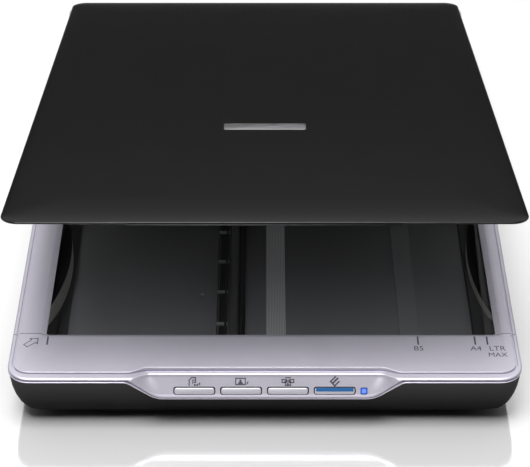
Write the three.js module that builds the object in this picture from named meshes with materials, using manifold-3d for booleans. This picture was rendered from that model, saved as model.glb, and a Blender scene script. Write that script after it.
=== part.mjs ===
// Slim flatbed document scanner: casing, platen glass, scan carriage with its belt drive,
// button panel, and a lid whose hinge arms also slide up out of the base.
// Millimetres, +Z up, +Y towards the hinges, origin on the ground under the middle of the base.
// The lid is laid out shut and then turned open about its hinge pins.
import * as THREE from 'three';
import { mergeVertices } from 'three/addons/utils/BufferGeometryUtils.js';
import Module from 'manifold-3d';

const wasm = await Module();
wasm.setup();

// ---------------------------------------------------------------- driving dimensions

const GAP = 0.3; // between neighbouring pieces
const BASE = { x: 124.5, front: -181.1, back: 182.2, corner: 11 };
const SEAM_Y = -147.5; // between front cover and upper frame
const SEAM_GAP = 0.3;

// Lower case: how far the tapered flank is drawn in from the base outline at each height.
const CASE_FLANK = [[6, 15], [7, 10.5], [8.5, 7.5], [11, 4.7], [15, 2.6], [19.5, 1.3], [27.2, 0.5]];
const CASE_HOLLOW = [[8, 8.8], [9, 7], [11, 5], [15, 3.2], [19.5, 1.9], [27.4, 0.7]];
const CASE_WALL = 2.2;
const FRONT_SHARE = 0.45; // the front flank draws in by this share of what the sides do
const PAN = { x: 110, y: 174, corner: 35, bottom: 1.5, floor: 4, wall: 2.5, top: 8.5 };
const FOOT = { x: 92, y: 128, radius: 6.5, height: 2.2, pocketTop: 2.5 };
const SCREW = { x: 94, y: 163, headRadius: 3.2, shankRadius: 1.2, headBottom: 3.6, headTop: 5.7, tip: 22 };
const GRIP = { y: -60, radius: 125, wall: 2 };
const LEFT_GRIP = { apex: -102.4, top: 17.4 };
const RIGHT_GRIP = { apex: 108.7, top: 9.5 };

// Upper frame and front cover.
const RIM = { bottom: 27.5, widest: 29.2, top: 30, wall: 2.3 };
const PLATEAU = { bottom: 29, top: 30.5, foot: 3.4, edge: 4.2 };
const WINDOW = { x0: -108.1, x1: 114, y0: -147, y1: 153, corner: 1.5, lip: 29.2, bevel: 2.7 };
const GLASS = { x0: -112, x1: 118, y0: -168, y1: 157, bottom: 25.9, top: 28.7, corner: 1 };

// Slanted button panel: measured down its own face from its top edge.
const PANEL = { y: -175.5, z: 28.5, run: 6.5, drop: 9, halfWidth: 58.5, length: 11.3, thick: 1.6 };
const PANEL_TILT = Math.atan2(PANEL.drop, PANEL.run);
const NOTCH_BOTTOM = 17.7; // the case wall ends here under the panel
const STEP = { y: -172.8, halfWidth: 60.5 }; // where the plateau ends behind the panel
const BUTTON = { width: 19.3, height: 3.1, pitch: 22.57, firstX: -34, down: 8.2, proud: 0.3 };
const BUTTON_NAMES = ['document_button', 'picture_button', 'copy_button', 'start_button'];
const LAMP = { x: 47.8, side: 3.1 };

// Carriage and drive. The belt runs round two pulleys on the line of the guide rail.
const FLOOR = PAN.floor;
const RAIL = { x: -16.3, width: 3.6, y0: -158.5, y1: 157.5, top: 10.5 };
const BELT = { inner: 4, outer: 4.7, bottom: 7.5, top: 11.5 };
const PULLEY = { groove: 3.7, flange: 5, bottom: 6.2, top: 12.8, bore: 1.5, pin: 1.2 };
const IDLER_Y = -164;
const DRIVE_Y = 163;
const GEAR = { teeth: 32, radius: 12, bottom: 14.6, top: 17.4 };
const PINION = { teeth: 8, radius: 3 };
const MESH_TURN = THREE.MathUtils.degToRad(8); // the pinion sits this far round from straight beside the gear
const MOTOR = { radius: 9.5, top: 13.6 };
const CARRIAGE = { y0: -166.5, y1: -149.5, sledBottom: 13, sledTop: 14.5, wallTop: 17.6 };
const SADDLE = { y0: -158, y1: -150, bottom: 6, cheek: 1.2 };
const GEAR_ROOM = { x0: -46, x1: -2, y: -158 }; // the sled stops here so that it can pass over the gear
const SENSOR = { x0: -106, x1: 112, y0: -165, y1: -151, bottom: 18, top: 24.6 };
const RIBBON = { x0: 0.6, x1: 10.7, thick: 0.3 };
const MAIN_BOARD = { x0: -3, x1: 62, y0: 158.8, y1: 173, bottom: 9, top: 10.6 };
const USB = { x0: 48, x1: 55.8, y0: 170.5, y1: 177.2, bottom: 10.9, top: 13.6 };

// Lid and hinges.
const HINGE = { y: 170, z: 33, x: 76, eye: 2.2, pin: 1.2, bore: 1.5, armWidth: 11.4 };
const OPEN_ANGLE = THREE.MathUtils.degToRad(13.1);
const ARM = { y0: 164.6, y1: 168.2, bottom: 5 };
const LID = { x: 121.5, y0: -179.8, y1: 172.5, corner: 8.5, bottom: 34.9, skin: 35.5 };
const LID_CROWN = [[34.9, 0.7], [35.2, 0.1], [35.9, 0], [36.35, 0.9], [36.65, 5], [36.9, 14], [37.05, 27]];
const INNER_COVER = { x: 112, y0: -165.8, y1: 163.5, corner: 10, bottom: 31.8, floor: 33.3, top: 35.2 };
const MAT = { x0: -104.5, x1: 110.5, y0: -143.5, y1: 149.5, corner: 3 };
const MAT_SHEET = [29, 29.5];
const MAT_FOAM = [29.8, 31.5];
const NAMEPLATE = { y: -56.3, width: 42.4, height: 9, bottom: 36.7, top: 37.1 };

// ---------------------------------------------------------------- finishes

const finish = (color, roughness, metalness = 0) =>
  new THREE.MeshStandardMaterial({ color, roughness, metalness });

const finishes = {
  caseBlack: finish(0x1b1b1d, 0.45),
  lidBlack: finish(0x1e1e20, 0.4),
  frameSilver: finish(0xb9b6c2, 0.38, 0.3),
  buttonSilver: finish(0xc9c7d0, 0.4, 0.3),
  nameplate: finish(0xb4b4b8, 0.3, 0.8),
  glass: Object.assign(finish(0xdfe8e6, 0.05), { transparent: true, opacity: 0.3 }),
  white: finish(0xe8e8e6, 0.6),
  foam: finish(0x9a9a98, 0.95),
  rubber: finish(0x2a2a2a, 0.9),
  lampBlue: finish(0x2a7fff, 0.25),
  boardGreen: finish(0x1c5a3a, 0.55),
  chip: finish(0x151515, 0.5),
  steel: finish(0x9a9da0, 0.35, 0.9),
  nylon: finish(0xe2dfd4, 0.5),
  darkPlastic: finish(0x242426, 0.6),
  belt: finish(0x1a1a1a, 0.8),
};

// ---------------------------------------------------------------- outlines

function arc(cx, cy, radius, fromDeg, toDeg, steps) {
  return Array.from({ length: steps + 1 }, (_, i) => {
    const angle = THREE.MathUtils.degToRad(fromDeg + ((toDeg - fromDeg) * i) / steps);
    return new THREE.Vector2(cx + radius * Math.cos(angle), cy + radius * Math.sin(angle));
  });
}

function roundedOutline(x0, x1, y0, y1, radius, steps = 6) {
  return [
    ...arc(x1 - radius, y0 + radius, radius, -90, 0, steps),
    ...arc(x1 - radius, y1 - radius, radius, 0, 90, steps),
    ...arc(x0 + radius, y1 - radius, radius, 90, 180, steps),
    ...arc(x0 + radius, y0 + radius, radius, 180, 270, steps),
  ];
}

// The base outline drawn in by an inset, with corners that stay soft as the flank draws in.
function baseOutline(inset, frontInset = inset) {
  const x = BASE.x - inset;
  const corner = BASE.corner - 0.35 * Math.min(inset, 8);
  return roundedOutline(-x, x, BASE.front + frontInset, BASE.back - inset, corner);
}

const caseOutline = (inset) => baseOutline(inset, FRONT_SHARE * inset);
const hollowOutline = (inset) => baseOutline(inset + CASE_WALL, FRONT_SHARE * inset + CASE_WALL);

function lidOutline(inset) {
  const corner = Math.max(LID.corner - 0.3 * inset, 4);
  return roundedOutline(-LID.x + inset, LID.x - inset, LID.y0 + inset, LID.y1 - inset, corner);
}

function toothedOutline(teeth, pitchRadius, turn) {
  const pitch = (2 * Math.PI) / teeth;
  const root = pitchRadius - 0.9;
  const tip = pitchRadius + 0.6;
  const corners = [[root, -0.25], [tip, -0.09], [tip, 0.09], [root, 0.25]];
  return Array.from({ length: teeth }, (_, tooth) => corners.map(([radius, share]) => {
    const angle = turn + pitch * (tooth + share);
    return new THREE.Vector2(radius * Math.cos(angle), radius * Math.sin(angle));
  })).flat();
}

// The lens-shaped patch of case floor that a finger grip takes up, from its arc to past the case's side.
function gripOutline(apex, radius) {
  const side = Math.sign(apex);
  const centreX = apex + side * GRIP.radius;
  const outerX = side * BASE.x;
  const reach = Math.acos((Math.abs(centreX - outerX) - 1) / GRIP.radius);
  const degrees = THREE.MathUtils.radToDeg(reach);
  const middle = side > 0 ? 180 : 0;
  return arc(centreX, GRIP.y, radius, middle - degrees, middle + degrees, 18);
}

// ---------------------------------------------------------------- shapes

function box(x0, x1, y0, y1, z0, z1) {
  const shape = new THREE.BoxGeometry(x1 - x0, y1 - y0, z1 - z0);
  return shape.translate((x0 + x1) / 2, (y0 + y1) / 2, (z0 + z1) / 2);
}

function upright(x, y, radius, z0, z1, sides = 20) {
  const shape = new THREE.CylinderGeometry(radius, radius, z1 - z0, sides);
  return shape.rotateX(Math.PI / 2).translate(x, y, (z0 + z1) / 2);
}

function alongX(y, z, radius, x0, x1, sides = 20) {
  const shape = new THREE.CylinderGeometry(radius, radius, x1 - x0, sides);
  return shape.rotateZ(Math.PI / 2).translate((x0 + x1) / 2, y, z);
}

function plate(outline, z0, z1) {
  const shape = new THREE.Shape(outline);
  return new THREE.ExtrudeGeometry(shape, { depth: z1 - z0, bevelEnabled: false }).translate(0, 0, z0);
}

// A profile drawn in the side view, with Y across and Z up, pushed along X.
function sideProfile(points, x0, x1) {
  const shape = new THREE.Shape(points.map(([y, z]) => new THREE.Vector2(y, z)));
  const pushed = new THREE.ExtrudeGeometry(shape, { depth: x1 - x0, bevelEnabled: false });
  const turned = new THREE.Matrix4().makeBasis(
    new THREE.Vector3(0, 1, 0),
    new THREE.Vector3(0, 0, 1),
    new THREE.Vector3(1, 0, 0),
  );
  return pushed.applyMatrix4(turned).translate(x0, 0, 0);
}

// A solid through outlines of equal point counts, from the lowest height to the highest.
function loft(levels) {
  const count = levels[0].outline.length;
  const positions = levels.flatMap(({ z, outline }) => outline.flatMap((point) => [point.x, point.y, z]));
  const indices = [];
  for (let level = 0; level < levels.length - 1; level += 1) {
    for (let i = 0; i < count; i += 1) {
      const a = level * count + i;
      const b = level * count + ((i + 1) % count);
      indices.push(a, b, b + count, a, b + count, a + count);
    }
  }
  const top = (levels.length - 1) * count;
  for (const [a, b, c] of THREE.ShapeUtils.triangulateShape(levels[0].outline, [])) {
    indices.push(c, b, a);
    indices.push(top + a, top + b, top + c);
  }
  const geometry = new THREE.BufferGeometry();
  geometry.setAttribute('position', new THREE.Float32BufferAttribute(positions, 3));
  geometry.setIndex(indices);
  return geometry;
}

function insetLoft(levels, outlineAt) {
  return loft(levels.map(([z, inset]) => ({ z, outline: outlineAt(inset) })));
}

// A turned piece about +Z from a closed profile of [radius, height] points.
function turned(profile, x, y, sides = 28) {
  const points = [...profile, profile[0]].map(([radius, z]) => new THREE.Vector2(radius, z));
  return new THREE.LatheGeometry(points, sides).rotateX(Math.PI / 2).translate(x, y, 0);
}

class Helix extends THREE.Curve {
  constructor(radius, height, turns) {
    super();
    Object.assign(this, { radius, height, turns });
  }

  getPoint(t) {
    const angle = t * this.turns * 2 * Math.PI;
    const x = this.radius * Math.cos(angle);
    const y = this.radius * Math.sin(angle);
    return new THREE.Vector3(x, y, t * this.height);
  }
}

function coilSpring(radius, wire, height, turns) {
  const section = new THREE.Shape(arc(0, 0, wire, 0, 300, 5));
  const path = new Helix(radius, height - 2 * wire, turns);
  const options = { steps: turns * 10, extrudePath: path, bevelEnabled: false };
  return new THREE.ExtrudeGeometry(section, options).translate(0, 0, wire);
}

// ---------------------------------------------------------------- joins and cuts

function toSolid(geometry) {
  const bare = geometry.clone();
  bare.deleteAttribute('normal');
  bare.deleteAttribute('uv');
  const merged = mergeVertices(bare, 1e-4);
  return new wasm.Manifold(new wasm.Mesh({
    numProp: 3,
    vertProperties: new Float32Array(merged.attributes.position.array),
    triVerts: new Uint32Array(merged.index.array),
  }));
}

function fromSolid(solid) {
  const mesh = solid.getMesh();
  const geometry = new THREE.BufferGeometry();
  geometry.setAttribute('position', new THREE.BufferAttribute(new Float32Array(mesh.vertProperties), 3));
  geometry.setIndex(new THREE.BufferAttribute(new Uint32Array(mesh.triVerts), 1));
  return geometry;
}

const combine = (how, first, others) =>
  fromSolid(others.reduce((solid, other) => solid[how](toSolid(other)), toSolid(first)));
const join = (first, ...others) => combine('add', first, others);
const cut = (first, ...others) => combine('subtract', first, others);
const keepInside = (first, ...others) => combine('intersect', first, others);

// ---------------------------------------------------------------- casing

const caseOutside = () => insetLoft(CASE_FLANK, caseOutline);
const panOutline = (inset) =>
  roundedOutline(-PAN.x + inset, PAN.x - inset, -PAN.y + inset, PAN.y - inset, PAN.corner - inset, 8);

function gripPlatform({ apex, top }) {
  return keepInside(plate(gripOutline(apex, GRIP.radius), PAN.floor - 1, top), caseOutside());
}

function gripPocket({ apex, top }) {
  return plate(gripOutline(apex, GRIP.radius - GRIP.wall), -1, top - GRIP.wall);
}

function lowerCase() {
  const pan = insetLoft([[PAN.bottom, 1.2], [PAN.bottom + 1, 0], [PAN.top, 0]], panOutline);
  const hollow = insetLoft(CASE_HOLLOW, hollowOutline);
  const panHollow = insetLoft([[PAN.floor, PAN.wall], [PAN.top, PAN.wall]], panOutline);
  const tray = cut(join(caseOutside(), pan), hollow, panHollow);
  const bosses = [-1, 1].map((side) => upright(side * SCREW.x, SCREW.y, 5.5, PAN.floor - 1, 12));
  const gearPost = upright(RAIL.x, DRIVE_Y, PULLEY.pin, PAN.floor - 1, GEAR.top + 1);
  const boardPosts = [MAIN_BOARD.x0 + 4, MAIN_BOARD.x1 - 4].map((x) =>
    upright(x, MAIN_BOARD.y0 + 6, 2, PAN.floor - 1, MAIN_BOARD.bottom - GAP));
  const platforms = [LEFT_GRIP, RIGHT_GRIP].map(gripPlatform);
  const pockets = [LEFT_GRIP, RIGHT_GRIP].map(gripPocket);
  const filled = join(tray, ...platforms, gearPost, ...bosses, ...boardPosts);
  const screwHoles = [-1, 1].flatMap((side) => [
    upright(side * SCREW.x, SCREW.y, SCREW.headRadius + 0.6, 0, SCREW.headTop + GAP),
    upright(side * SCREW.x, SCREW.y, SCREW.shankRadius + 0.5, 0, 13),
  ]);
  const footPockets = footPlaces().map(([x, y]) => upright(x, y, FOOT.radius + GAP, 0, FOOT.pocketTop));
  const panelNotch = box(-STEP.halfWidth - GAP, STEP.halfWidth + GAP, -186, -174, NOTCH_BOTTOM, 30);
  const usbHole = box(USB.x0 - GAP, USB.x1 + GAP, USB.y0, 186, USB.bottom - GAP, USB.top + GAP);
  return cut(filled, ...pockets, panelNotch, usbHole, ...screwHoles, ...footPockets);
}

function footPlaces() {
  return [-1, 1].flatMap((sideY) => [-1, 1].map((sideX) => [sideX * FOOT.x, sideY * FOOT.y]));
}

function windowOutline(grow) {
  return roundedOutline(
    WINDOW.x0 - grow,
    WINDOW.x1 + grow,
    WINDOW.y0 - grow,
    WINDOW.y1 + grow,
    WINDOW.corner + grow / 3,
    3,
  );
}

// Rim, raised plateau and bevelled window as one shell, before the seam divides it.
function topShell() {
  const rim = insetLoft([[RIM.bottom, 0.2], [RIM.widest, 0], [RIM.top, 0.8]], baseOutline);
  const plateau = insetLoft(
    [[PLATEAU.bottom, PLATEAU.foot], [PLATEAU.top - 0.4, PLATEAU.foot], [PLATEAU.top, PLATEAU.edge]],
    baseOutline,
  );
  const under = insetLoft([[RIM.bottom - 1, RIM.wall], [PLATEAU.bottom, RIM.wall]], baseOutline);
  const slope = WINDOW.bevel / (PLATEAU.top - WINDOW.lip);
  const above = 31;
  const window = insetLoft(
    [[PLATEAU.bottom - 1, 0], [WINDOW.lip, 0], [above, slope * (above - WINDOW.lip)]],
    windowOutline,
  );
  return cut(join(rim, plateau), under, window);
}

function upperFrame() {
  const behindSeam = box(-130, 130, SEAM_Y + SEAM_GAP / 2, 190, 20, 40);
  const screwPosts = [-1, 1].map((side) => upright(side * SCREW.x, SCREW.y, 3.4, 12.3, PLATEAU.bottom + 0.5));
  const screwBores = [-1, 1].map((side) => upright(side * SCREW.x, SCREW.y, SCREW.shankRadius + GAP, 12, 25));
  const armSlots = [-1, 1].map((side) => {
    const halfWidth = HINGE.armWidth / 2 + 0.4;
    return box(side * HINGE.x - halfWidth, side * HINGE.x + halfWidth, ARM.y0 - 0.4, ARM.y1 + 0.4, 26, 32);
  });
  return cut(join(keepInside(topShell(), behindSeam), ...screwPosts), ...screwBores, ...armSlots);
}

// Side view of the panel: its face, its lower lip and its back.
function panelProfile() {
  const down = [-PANEL.run, -PANEL.drop].map((part) => part / Math.hypot(PANEL.run, PANEL.drop));
  const inward = [-down[1], down[0]];
  const at = (along, depth) => [
    PANEL.y + down[0] * along + inward[0] * depth,
    PANEL.z + down[1] * along + inward[1] * depth,
  ];
  return [at(-0.4, 0), at(PANEL.length, 0), at(PANEL.length, PANEL.thick), at(-0.4, PANEL.thick)];
}

function frontCover() {
  const aheadOfSeam = box(-130, 130, -190, SEAM_Y - SEAM_GAP / 2, 20, 40);
  const recess = box(-STEP.halfWidth, STEP.halfWidth, -190, STEP.y, 20, 40);
  const plateauPart = cut(keepInside(topShell(), aheadOfSeam), recess);
  const step = sideProfile(
    [[-171.5, 29], [-174.2, 27.1], [-175.9, 28.2], [STEP.y, PLATEAU.top], [-171.5, PLATEAU.top]].reverse(),
    -STEP.halfWidth - 0.2,
    STEP.halfWidth + 0.2,
  );
  const face = sideProfile(panelProfile(), -STEP.halfWidth, STEP.halfWidth);
  const cheek = [[-172, 30], [-181.1, 30], [-182.2, 19.6], [-180.9, 18.7], [-172, 28]];
  const cheeks = [-1, 1].map((side) => {
    const inner = side * PANEL.halfWidth;
    const outer = side * STEP.halfWidth;
    return sideProfile(cheek, Math.min(inner, outer), Math.max(inner, outer));
  });
  const hooks = [-96, -78, 78, 96].map((x) => box(x - 4, x + 4, -177.6, -176, 21, PLATEAU.bottom + 0.5));
  const whole = join(plateauPart, step, face, ...cheeks, ...hooks);
  const buttonWindows = buttonCentres().map((x) => panelWindow(x, BUTTON.width, BUTTON.height));
  return cut(whole, ...buttonWindows, panelWindow(LAMP.x, LAMP.side, LAMP.side));
}

// ---------------------------------------------------------------- button panel, in the panel's own frame

function buttonCentres() {
  return BUTTON_NAMES.map((_, i) => BUTTON.firstX + i * BUTTON.pitch);
}

const panelFrame = new THREE.Matrix4()
  .makeRotationX(PANEL_TILT)
  .premultiply(new THREE.Matrix4().makeTranslation(0, PANEL.y, PANEL.z));

function onPanel(x, width, height, depth0, depth1) {
  const y = -BUTTON.down;
  const outline = roundedOutline(x - width / 2, x + width / 2, y - height / 2, y + height / 2, 0.7, 3);
  return plate(outline, -depth1, -depth0);
}

function panelWindow(x, width, height) {
  return onPanel(x, width + 2 * GAP, height + 2 * GAP, -2, 4).applyMatrix4(panelFrame);
}

function pushButton(x) {
  const cap = onPanel(x, BUTTON.width, BUTTON.height, -BUTTON.proud, 2.2);
  const flange = onPanel(x, BUTTON.width + 1.6, BUTTON.height + 1, PANEL.thick + GAP, 2.8);
  const stem = onPanel(x, 3, 1.8, 2.5, 3.2);
  return join(cap, flange, stem);
}

function buttonSwitch(x) {
  const body = onPanel(x, 4.5, 3, 4.7, 5.9);
  const plunger = onPanel(x, 2, 1.6, 4.2, 5);
  return join(body, plunger);
}

function buttonBoard() {
  const middle = -BUTTON.down + 1.6;
  const outline = roundedOutline(-53, 53, middle - 3.9, middle + 3.4, 1, 3);
  return plate(outline, -7.2, -6.1);
}

// ---------------------------------------------------------------- drive

function pulleyProfile() {
  const { groove, flange, bottom, top, bore } = PULLEY;
  const lip = 0.7;
  return [
    [bore, bottom],
    [flange, bottom],
    [flange, bottom + lip],
    [groove, bottom + lip + 0.3],
    [groove, top - lip - 0.3],
    [flange, top - lip],
    [flange, top],
    [bore, top],
  ];
}

function idlerPulley() {
  return turned(pulleyProfile(), RAIL.x, IDLER_Y);
}

function driveGear() {
  const hub = upright(0, 0, 3, PULLEY.top - 0.2, GEAR.bottom + 0.2);
  const gear = plate(toothedOutline(GEAR.teeth, GEAR.radius, MESH_TURN), GEAR.bottom, GEAR.top);
  const bore = upright(0, 0, PULLEY.bore, 0, 20, 28);
  return cut(join(turned(pulleyProfile(), 0, 0), hub, gear), bore).translate(RAIL.x, DRIVE_Y, 0);
}

const SHAFTS_APART = GEAR.radius + PINION.radius;
const MOTOR_X = RAIL.x - SHAFTS_APART * Math.cos(MESH_TURN);
const MOTOR_Y = DRIVE_Y - SHAFTS_APART * Math.sin(MESH_TURN);

function motorPinion() {
  const halfPitch = Math.PI / PINION.teeth;
  const teeth = plate(toothedOutline(PINION.teeth, PINION.radius, MESH_TURN + halfPitch), 14.4, 17.6);
  const shaft = upright(0, 0, 1, MOTOR.top + GAP, 14.6);
  return join(teeth, shaft).translate(MOTOR_X, MOTOR_Y, 0);
}

function stepperMotor() {
  const can = upright(0, 0, MOTOR.radius, FLOOR + GAP, MOTOR.top, 32);
  const ears = box(-3, 3, -11, 11, MOTOR.top - 1, MOTOR.top);
  const lead = box(-13, -8, -4, 4, 6, 11);
  return join(can, ears, lead).translate(MOTOR_X, MOTOR_Y, 0);
}

function idlerBracket() {
  const base = box(RAIL.x - 4.5, RAIL.x + 4.5, IDLER_Y - 4.8, IDLER_Y + 4.8, FLOOR + GAP, 5.7);
  const pin = upright(RAIL.x, IDLER_Y, PULLEY.pin, 5.2, PULLEY.top - 0.4);
  return join(base, pin);
}

function driveBelt() {
  const loopAt = (radius) => [
    ...arc(RAIL.x, DRIVE_Y, radius, 0, 180, 12),
    ...arc(RAIL.x, IDLER_Y, radius, 180, 360, 12),
  ];
  return cut(plate(loopAt(BELT.outer), BELT.bottom, BELT.top), plate(loopAt(BELT.inner), 0, 20));
}

function guideRail() {
  const half = RAIL.width / 2;
  return box(RAIL.x - half, RAIL.x + half, RAIL.y0, RAIL.y1, FLOOR + GAP, RAIL.top);
}

// ---------------------------------------------------------------- carriage

function sled() {
  const { y0, y1, sledBottom, sledTop, wallTop } = CARRIAGE;
  const tray = box(-98, 104, y0, y1, sledBottom, sledTop);
  const walls = [y0, y1 - 1].map((y) => box(-98, 104, y, y + 1, sledTop - 0.2, wallTop));
  const trimmed = cut(join(tray, ...walls), box(GEAR_ROOM.x0, GEAR_ROOM.x1, GEAR_ROOM.y, 0, 0, 30));
  const half = RAIL.width / 2 + GAP;
  const { bottom, cheek } = SADDLE;
  const front = GEAR_ROOM.y - 1;
  const cheeks = [-1, 1].map((side) => {
    const inner = RAIL.x + side * half;
    const outer = inner + side * cheek;
    return box(Math.min(inner, outer), Math.max(inner, outer), SADDLE.y0, SADDLE.y1, bottom, sledTop - 0.5);
  });
  const bridge = box(RAIL.x - half - cheek, RAIL.x + half + cheek, front, SADDLE.y1, 12, sledTop - 0.5);
  return join(trimmed, ...cheeks, bridge);
}

const beltSide = () => RAIL.x + BELT.outer;

function beltClamp() {
  const inner = beltSide() + GAP;
  return box(inner, inner + 3, -166, -158.5, 7, CARRIAGE.sledBottom - GAP);
}

function sensorHousing() {
  const { x0, x1, y0, y1, bottom, top } = SENSOR;
  const channel = box(x0 + 4, x1 - 4, y0 + 2, y1 - 2, 20, top + 1);
  return cut(box(x0, x1, y0, y1, bottom, top), channel);
}

function sensorPieces() {
  const { x0, x1, y0, top } = SENSOR;
  const lens = box(x0 + 5, x1 - 5, y0 + 8.2, y0 + 10.2, 20.3, 23.4);
  const light = box(x0 + 5, x1 - 5, y0 + 4, y0 + 6.5, 20.3, 22.5);
  const window = box(x0 + 4.3, x1 - 4.3, y0 + 2.3, y0 + 11.7, 23.7, top);
  return { lens, light, window };
}

function glassSpacer(x0, x1) {
  return box(x0, x1, SENSOR.y0 + 3, SENSOR.y1 - 3, SENSOR.top + 0.1, 25.1);
}

// A flat cable bent in the side view: a strip of even thickness along the given points.
function strip(points, thick) {
  const path = points.map(([y, z]) => new THREE.Vector2(y, z));
  const normals = path.map((_, i) => {
    const before = path[Math.max(i - 1, 0)];
    const after = path[Math.min(i + 1, path.length - 1)];
    const along = after.clone().sub(before).normalize();
    return new THREE.Vector2(-along.y, along.x);
  });
  const offset = (side) => path.map((p, i) => p.clone().addScaledVector(normals[i], side * thick / 2));
  const outline = [...offset(-1), ...offset(1).reverse()];
  return sideProfile(outline.map((p) => [p.x, p.y]), RIBBON.x0, RIBBON.x1);
}

function floorRibbon() {
  const z = FLOOR + GAP + RIBBON.thick / 2;
  const rise = [[157.6, z + 1.2], [158, z + 3], [158.2, 11.4], [160.7, 11.8]];
  return strip([[-150, z], [156, z], ...rise], RIBBON.thick);
}

function ribbonLoop() {
  const bend = arc(-158, 9, 3.6, 90, 270, 10).map((p) => [p.x, p.y]);
  return strip([[-154, 12.6], ...bend, [-155, 5.4]], RIBBON.thick);
}

// ---------------------------------------------------------------- hinges and lid

function hingeSocket(side) {
  const halfWidth = HINGE.armWidth / 2 + 0.4;
  const x = side * HINGE.x;
  const wall = 1.4;
  const sleeve = box(
    x - halfWidth - wall,
    x + halfWidth + wall,
    ARM.y0 - 0.4 - wall,
    ARM.y1 + 0.4 + wall,
    FLOOR + GAP,
    PLATEAU.bottom - GAP,
  );
  return cut(sleeve, box(x - halfWidth, x + halfWidth, ARM.y0 - 0.4, ARM.y1 + 0.4, 0, 40));
}

function hingeArm(side) {
  const x0 = side * HINGE.x - HINGE.armWidth / 2;
  const x1 = x0 + HINGE.armWidth;
  const { y0, y1, bottom } = ARM;
  const { y, z } = HINGE;
  const profile = [[y0, bottom], [y1, bottom], [y1, z - 2.1], [y, z - 2], [y, z + 1], [y0, z - 2.1]];
  const blade = sideProfile(profile, x0, x1);
  const eye = alongX(HINGE.y, HINGE.z, HINGE.eye, x0, x1, 24);
  return cut(join(blade, eye), alongX(HINGE.y, HINGE.z, HINGE.bore, x0 - 1, x1 + 1, 24));
}

function lidShell() {
  const crown = insetLoft(LID_CROWN, lidOutline);
  const hollow = insetLoft([[LID.bottom - 1, 1.9], [LID.skin, 1.9]], lidOutline);
  const lip = box(-65, 65, LID.y0 + 0.7, LID.y0 + 3, LID.bottom - 1, LID.skin + 0.2);
  const half = (size) => size / 2 + GAP;
  const recess = plate(roundedOutline(
    -half(NAMEPLATE.width),
    half(NAMEPLATE.width),
    NAMEPLATE.y - half(NAMEPLATE.height),
    NAMEPLATE.y + half(NAMEPLATE.height),
    1.3,
    3,
  ), NAMEPLATE.bottom - GAP, 40);
  const eyeRooms = [-1, 1].map((side) =>
    alongX(HINGE.y, HINGE.z, HINGE.eye + 0.4, side * HINGE.x - 10, side * HINGE.x + 10, 24));
  return cut(join(cut(crown, hollow), lip), recess, ...eyeRooms);
}

function lidInnerCover() {
  const { x, y0, y1, corner, bottom, floor, top } = INNER_COVER;
  const outer = plate(roundedOutline(-x, x, y0, y1, corner), bottom, top);
  const inner = plate(roundedOutline(-x + 1.6, x - 1.6, y0 + 1.6, y1 - 1.6, corner - 1.6), floor, top + 1);
  const armHalf = HINGE.armWidth / 2;
  const knuckles = [-1, 1].flatMap((side) => [-1, 1].map((end) => {
    const near = side * HINGE.x + end * (armHalf + GAP);
    const far = near + end * 3.5;
    const [x0, x1] = [Math.min(near, far), Math.max(near, far)];
    return join(alongX(HINGE.y, HINGE.z, HINGE.eye, x0, x1, 24), box(x0, x1, y1 - 1, HINGE.y, 31.8, 34.8));
  }));
  const bores = [-1, 1].map((side) =>
    alongX(HINGE.y, HINGE.z, HINGE.bore, side * HINGE.x - 12, side * HINGE.x + 12, 24));
  return cut(join(cut(outer, inner), ...knuckles), ...bores);
}

function matLayer([z0, z1]) {
  return plate(roundedOutline(MAT.x0, MAT.x1, MAT.y0, MAT.y1, MAT.corner, 4), z0, z1);
}

function nameplate() {
  const half = NAMEPLATE.width / 2;
  const rise = NAMEPLATE.height / 2;
  const outline = roundedOutline(-half, half, NAMEPLATE.y - rise, NAMEPLATE.y + rise, 1, 3);
  return plate(outline, NAMEPLATE.bottom, NAMEPLATE.top);
}

// ---------------------------------------------------------------- assembly

function part(name, geometry, material) {
  const mesh = new THREE.Mesh(geometry, material);
  mesh.name = name;
  return mesh;
}

function casing() {
  const group = new THREE.Group();
  group.add(part('lower_case', lowerCase(), finishes.caseBlack));
  group.add(part('upper_frame', upperFrame(), finishes.frameSilver));
  group.add(part('front_cover', frontCover(), finishes.frameSilver));
  const pane = roundedOutline(GLASS.x0, GLASS.x1, GLASS.y0, GLASS.y1, GLASS.corner, 3);
  group.add(part('platen_glass', plate(pane, GLASS.bottom, GLASS.top), finishes.glass));
  group.add(part('calibration_strip', box(-104, 110, -166, -152, 25.35, 25.65), finishes.white));
  const places = ['front_left', 'front_right', 'rear_left', 'rear_right'];
  footPlaces().forEach(([x, y], i) => {
    group.add(part(`foot_${places[i]}`, upright(x, y, FOOT.radius, 0, FOOT.height, 24), finishes.rubber));
  });
  for (const [side, word] of [[-1, 'left'], [1, 'right']]) {
    const head = upright(side * SCREW.x, SCREW.y, SCREW.headRadius, SCREW.headBottom, SCREW.headTop);
    const shank = upright(side * SCREW.x, SCREW.y, SCREW.shankRadius, SCREW.headTop - 0.2, SCREW.tip, 12);
    group.add(part(`case_screw_${word}`, join(head, shank), finishes.steel));
    group.add(part(`hinge_socket_${word}`, hingeSocket(side), finishes.darkPlastic));
  }
  return group;
}

function buttonPanel() {
  const group = new THREE.Group();
  group.position.set(0, PANEL.y, PANEL.z);
  group.rotation.x = PANEL_TILT;
  buttonCentres().forEach((x, i) => {
    group.add(part(BUTTON_NAMES[i], pushButton(x), finishes.buttonSilver));
    group.add(part(`button_switch_${i + 1}`, buttonSwitch(x), finishes.chip));
  });
  group.add(part('status_lamp', onPanel(LAMP.x, LAMP.side, LAMP.side, -0.1, 5.8), finishes.lampBlue));
  group.add(part('button_board', buttonBoard(), finishes.boardGreen));
  return group;
}

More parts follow.
